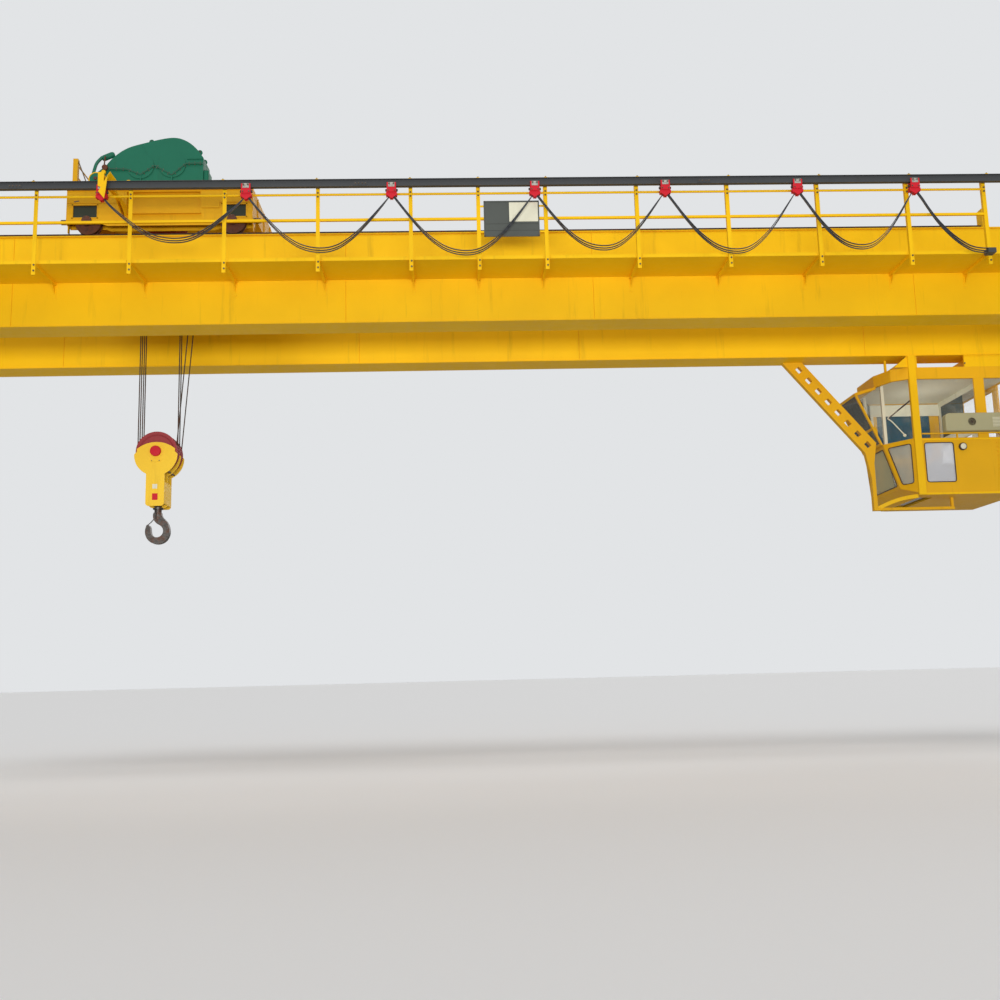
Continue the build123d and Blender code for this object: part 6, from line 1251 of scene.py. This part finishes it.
def inset(outline, distance):
    """A convex outline of (u, v) points moved in by this distance."""
    after = outline[1:] + outline[:1]
    turn = 1 if sum(u0 * v1 - u1 * v0 for (u0, v0), (u1, v1) in zip(outline, after)) > 0 else -1
    lines = []
    for (u0, v0), (u1, v1) in zip(outline, after):
        length = hypot(u1 - u0, v1 - v0)
        normal = (-(v1 - v0) / length * turn, (u1 - u0) / length * turn)
        lines.append((*normal, normal[0] * u0 + normal[1] * v0 + distance))
    made = []
    for (a, b, c), (d, e, f) in zip(lines[-1:] + lines, lines):
        det = a * e - b * d
        made.append(((c * e - b * f) / det, (a * f - c * d) / det))
    return made


def gasket(outline, to_place):
    """A rubber strip with rounded corners, round a window whose outline is given in its wall's own plane."""
    places = [Vector(to_place(u, v)) for u, v in inset(outline, GASKET_INSET)]
    start = (places[0] + places[1]) / 2
    path = bent([start] + places[1:] + [places[0], start], GASKET_BEND)
    return swept(path[:-1], circle(GASKET_RADIUS, 6), closed=True)


def cabin_walls():
    """Each lower window's outline in its wall, with the call that places it in the crane."""
    run, set_in = SIDE_FRONT - FRONT, CABIN_MIDDLE - FRONT_HALF - CABIN_NEAR
    top = hypot(run, set_in)
    low = top * (SIDE_FRONT - CHIN_X) / run
    slope = hypot(CHIN_X - FRONT, BELT - CHIN_Z)
    chin_half = CABIN_MIDDLE - CABIN_NEAR - set_in * (SIDE_FRONT - CHIN_X) / run
    walls = []
    for side in SIDES:
        edge = CABIN_MIDDLE + side * (CABIN_MIDDLE - CABIN_NEAR)

        def on_chamfer(u, v, side=side, edge=edge):
            x = SIDE_FRONT - u * run / top - 0.002 * set_in / top
            return (x, edge - side * u * set_in / top + side * 0.002, v)

        def on_side(u, v, side=side, edge=edge):
            return (u, edge + side * 0.002, v)

        walls.append(([(0, BELT), (top, BELT), (low, CHIN_Z), (0, CHIN_Z)], on_chamfer))
        window = [(WINDOW_LEFT, BELT), (WINDOW_RIGHT, BELT), (WINDOW_RIGHT, CHIN_Z), (WINDOW_LEFT, CHIN_Z)]
        walls.append((window, on_side))

    def on_front(u, v):
        x = FRONT - v / slope * (CHIN_X - FRONT) - 0.003
        return (x, CABIN_MIDDLE + u, BELT + v / slope * (BELT - CHIN_Z))

    walls.append(([(-FRONT_HALF, 0), (FRONT_HALF, 0), (chin_half, -slope), (-chin_half, -slope)], on_front))
    return walls


def build_cabin_details():
    strips = [gasket(*wall) for wall in cabin_walls()]
    yellow, heads, cream, dark = [], [], [], []
    dark.append(lathe(LAMP_BODY, LAMP, NEAR, 28))
    cream.append(lathe(LAMP_FACE, LAMP, NEAR, 28))
    hinge_x, hinge_y = CABIN_REAR + 0.008, CABIN_MIDDLE - 0.385
    for z in HINGE_ZS:
        dark.append(rod((hinge_x, hinge_y, z - 0.06), (hinge_x, hinge_y, z + 0.06), 0.012, 10))
    # Bar that curves from the brace's foot up to the body's near lower corner
    corner = Vector((SIDE_FRONT, CABIN_NEAR + 0.02, -3.385))
    path = [FOOT.lerp(corner, share) + FOOT_RISE * sin(pi * share) for share in spread(0, 1, 15)]
    yellow.append(swept(path, oblong(0.024, 0.070)))
    # Strips under the side windows and along the floor, and bolts where the hangers meet the girder
    for side, y in zip(SIDES, (CABIN_NEAR, CABIN_FAR)):
        for x, out, z, width, depth in ((SIDE_FRONT, 0.006, BELT - 0.012, 0.012, 0.03),
                                        (SIDE_FRONT + 0.15, 0.008, FLOOR + 0.02, 0.016, 0.04)):
            yellow.append(bar((x, y + side * out, z), (CABIN_REAR, y + side * out, z), width, depth))
    hanger_bolts = [(x, CABIN_NEAR + y, HANGER_BOLT_Z) for x in HANGER_XS for y in (0.03, 0.11)]
    heads.append(bolts(hanger_bolts, (0, 0, -1), 0.022))
    heads.append(bolts([(x, CABIN_NEAR, -0.80) for x in (9.84, 10.65)], NEAR, 0.024))
    # The air unit's louvres and its fan's guard
    low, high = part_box("cabin_air_unit")
    for step in range(7):
        z = low.z + 0.08 + step * 0.028
        cream.append(bar((high.x - 0.46, low.y - 0.002, z), (high.x - 0.09, low.y - 0.002, z), 0.008, 0.010))
    fan = Vector((low.x + 0.51, low.y - 0.004, (low.z + high.z) / 2))
    for radius in FAN_CIRCLES:
        dark.append(ring(fan, NEAR, radius, radius + 0.005, 0.004, 28))
    for turn in range(0, 180, 30):
        reach = Vector((cos(radians(turn)), 0, sin(radians(turn)))) * 0.073
        dark.append(rod(fan - reach, fan + reach, 0.003, 6))
    # A pale header inside the top of the far wall, and a pale post at its front
    header = soft_block((SIDE_FRONT, CABIN_FAR - 0.085, HEADER_LOW),
                        (CABIN_REAR - 0.05, CABIN_FAR - 0.060, HEADER_TOP), 0.004)
    post = soft_block((SIDE_FRONT - 0.01, CABIN_FAR - 0.095, BELT + 0.01),
                      (SIDE_FRONT + 0.05, CABIN_FAR - 0.055, HEADER_TOP), 0.006)
    add_parts("cabin_header", [header, post], "cream_panel")
    # A wiper arm and its blade in front of the near corner pane
    cream.append(swept(bent(WIPER, 0.03), circle(0.012)))
    cream.append(lathe([(0, 0.03), (0.03, 0.028), (0.04, 0.015)], WIPER[0], (-0.8, -0.6, 0)))
    dark.append(bar(*BLADE, 0.012, 0.026))
    add_parts("cabin_gaskets", strips, "buffer_rubber", "bridge", smooth=60)
    add_parts("cabin_strips", yellow, "girder_paint")
    add_bolts("cabin_bolts", heads)
    add_parts("cabin_lamp_glass", cream, "cream_panel")
    add_parts("cabin_dark_parts", dark, "buffer_rubber")


CONSOLE_FRONT = 9.32
CONSOLE_TOP = -2.62
ARM_TOP = -2.60
CONSOLE_OUT = 0.44
ARM_OUT = 0.27
LEVER_STEPS = (0.10, 0.24)
KNOB = [(0, 0.008), (0.01, 0.024), (0.035, 0.026), (0.05, 0.014)]
BOOT = [(0, 0.045), (0.012, 0.036), (0.03, 0.014)]


def build_seat_details():
    """Levers and buttons on each console, and the seat's headrest and armrests."""
    dark, cream = [], []
    for side in SIDES:
        y = CABIN_MIDDLE + side * CONSOLE_OUT
        for step in LEVER_STEPS:
            x = CONSOLE_FRONT + step
            foot = (x, y, CONSOLE_TOP)
            dark.append(rod(foot, (x - 0.02, y, CONSOLE_TOP + 0.14), 0.010))
            dark.append(lathe(KNOB, (x - 0.02, y, CONSOLE_TOP + 0.13), UP, 14))
            dark.append(lathe(BOOT, foot, UP))
        for step in range(4):
            cream.append(lathe([(0, 0.012), (0.01, 0.012)],
                               (CONSOLE_FRONT + 0.34, y - 0.06 + step * 0.04, CONSOLE_TOP), UP, 12))
        y = CABIN_MIDDLE + side * ARM_OUT
        dark.append(soft_block((9.40, y - 0.03, ARM_TOP), (9.76, y + 0.03, ARM_TOP + 0.04), 0.01))
        dark.append(rod((9.70, y, -2.82), (9.70, y, ARM_TOP), 0.014))
    dark.append(soft_block((9.84, CABIN_MIDDLE - 0.14, -2.24), (9.93, CABIN_MIDDLE + 0.14, -2.08), 0.025))
    add_parts("seat_fittings", dark, "seat_vinyl")
    add_parts("console_buttons", cream, "cream_panel")


# Stage, light and camera
SKY_STRENGTH = 0.38
SOFTBOX_PLACE = Vector((0, -30, -5.6))
SOFTBOX_POWER = 5300
SOFTBOX_SIZE = (24, 5)
CABIN_LAMP_POWER = 15


def build_stage():
    """A floor that is pale to the camera, and darker for the light that it throws back up."""
    shader = Shader("stage_pale")
    to_camera = shader.node("LightPath", {}).outputs["Is Camera Ray"]
    shader.set("Specular IOR Level", 0.1)
    material = shader.finish(shader.mix(to_camera, linear(186, 184, 180), linear(238, 238, 238)), 0.9)
    corners = [(FLOOR_HALF * x, FLOOR_HALF * y, FLOOR_Z) for x, y in ((-1, -1), (1, -1), (1, 1), (-1, 1))]
    floor = add_object("stage_floor", corners, [(0, 1, 2, 3)], material, 0)
    return floor


def build_world():
    """Pale surroundings: what the camera and glass see is near white, and the light is moderate."""
    world = bpy.data.worlds.new("studio")
    bpy.context.scene.world = world
    world.use_nodes = True
    tree = world.node_tree
    tree.nodes.clear()
    rays = add_node(tree, "LightPath", {}).outputs
    kinds = {0: rays["Is Camera Ray"], 1: rays["Is Transmission Ray"]}
    seen = add_node(tree, "Math", kinds, operation="MAXIMUM")
    light = add_node(tree, "Background", {"Color": (1.0, 1.0, 1.0, 1.0), "Strength": SKY_STRENGTH})
    shown = add_node(tree, "Background", {"Color": linear(226, 228, 230), "Strength": 1.0})
    both = add_node(tree, "MixShader", {0: seen.outputs[0], 1: light.outputs[0], 2: shown.outputs[0]})
    add_node(tree, "OutputWorld", {"Surface": both.outputs[0]})


def add_lamp(name, kind, energy, direction=(0, 0, -1)):
    """A lamp that shines in this direction, and the settings of its light."""
    light = bpy.data.lights.new(name, kind)
    light.energy = energy
    made = bpy.data.objects.new(name, light)
    made.rotation_mode = "QUATERNION"
    made.rotation_quaternion = Vector(direction).to_track_quat("-Z", "Y")
    bpy.context.scene.collection.objects.link(made)
    return made, light


def build_lights(unlit):
    """A large lamp low in front, kept off the floor, a sun, a weak sun from behind and a cabin lamp."""
    made, light = add_lamp("front_softbox", "AREA", SOFTBOX_POWER, -SOFTBOX_PLACE)
    light.shape = "RECTANGLE"
    light.size, light.size_y = SOFTBOX_SIZE
    made.location = SOFTBOX_PLACE
    made.visible_camera = False
    lit = bpy.data.collections.new("front_softbox_light")
    lit.objects.link(unlit)
    lit.collection_objects[0].light_linking.link_state = "EXCLUDE"
    made.light_linking.receiver_collection = lit
    for name, direction, energy, angle in (("overhead", (0.3, 0.6, -1.0), 0.8, 30),
                                           ("back_fill", (-0.4, -0.8, -0.6), 1.0, 60)):
        add_lamp(name, "SUN", energy, direction)[1].angle = radians(angle)
    made, light = add_lamp("cabin_lamp", "POINT", CABIN_LAMP_POWER)
    light.shadow_soft_size = 0.35
    made.location = (9.3, CABIN_MIDDLE, -2.0)
    made.visible_camera = made.visible_glossy = made.visible_transmission = False


def build_camera():
    forward = Vector((sin(CAMERA_YAW) * cos(CAMERA_PITCH), cos(CAMERA_YAW) * cos(CAMERA_PITCH),
                      sin(CAMERA_PITCH)))
    level = Vector((cos(CAMERA_YAW), -sin(CAMERA_YAW), 0))
    upright = level.cross(forward)
    right = level * cos(CAMERA_ROLL) + upright * sin(CAMERA_ROLL)
    up = upright * cos(CAMERA_ROLL) - level * sin(CAMERA_ROLL)
    data = bpy.data.cameras.new("camera")
    data.lens = CAMERA_LENS
    data.sensor_width = SENSOR_WIDTH
    data.clip_end = CLIP_END
    made = bpy.data.objects.new("camera", data)
    made.matrix_world = Matrix.Translation(CAMERA_PLACE) @ Matrix((right, up, -forward)).transposed().to_4x4()
    bpy.context.scene.collection.objects.link(made)
    bpy.context.scene.camera = made


bpy.context.scene.view_settings.view_transform = "Standard"
build_camera()
build_world()
build_lights(build_stage())
dress_frame()
build_festoon()
build_girder_details()
build_walkway_details()
build_sign_details()
build_track_details()
for carrier in CARRIERS:
    build_carrier_details(carrier)
build_truck_details()
build_trolley_details()
build_tow_details()
build_reducer_details()
build_hoist_details()
build_ropes()
build_block_details()
build_cabin_details()
build_seat_details()
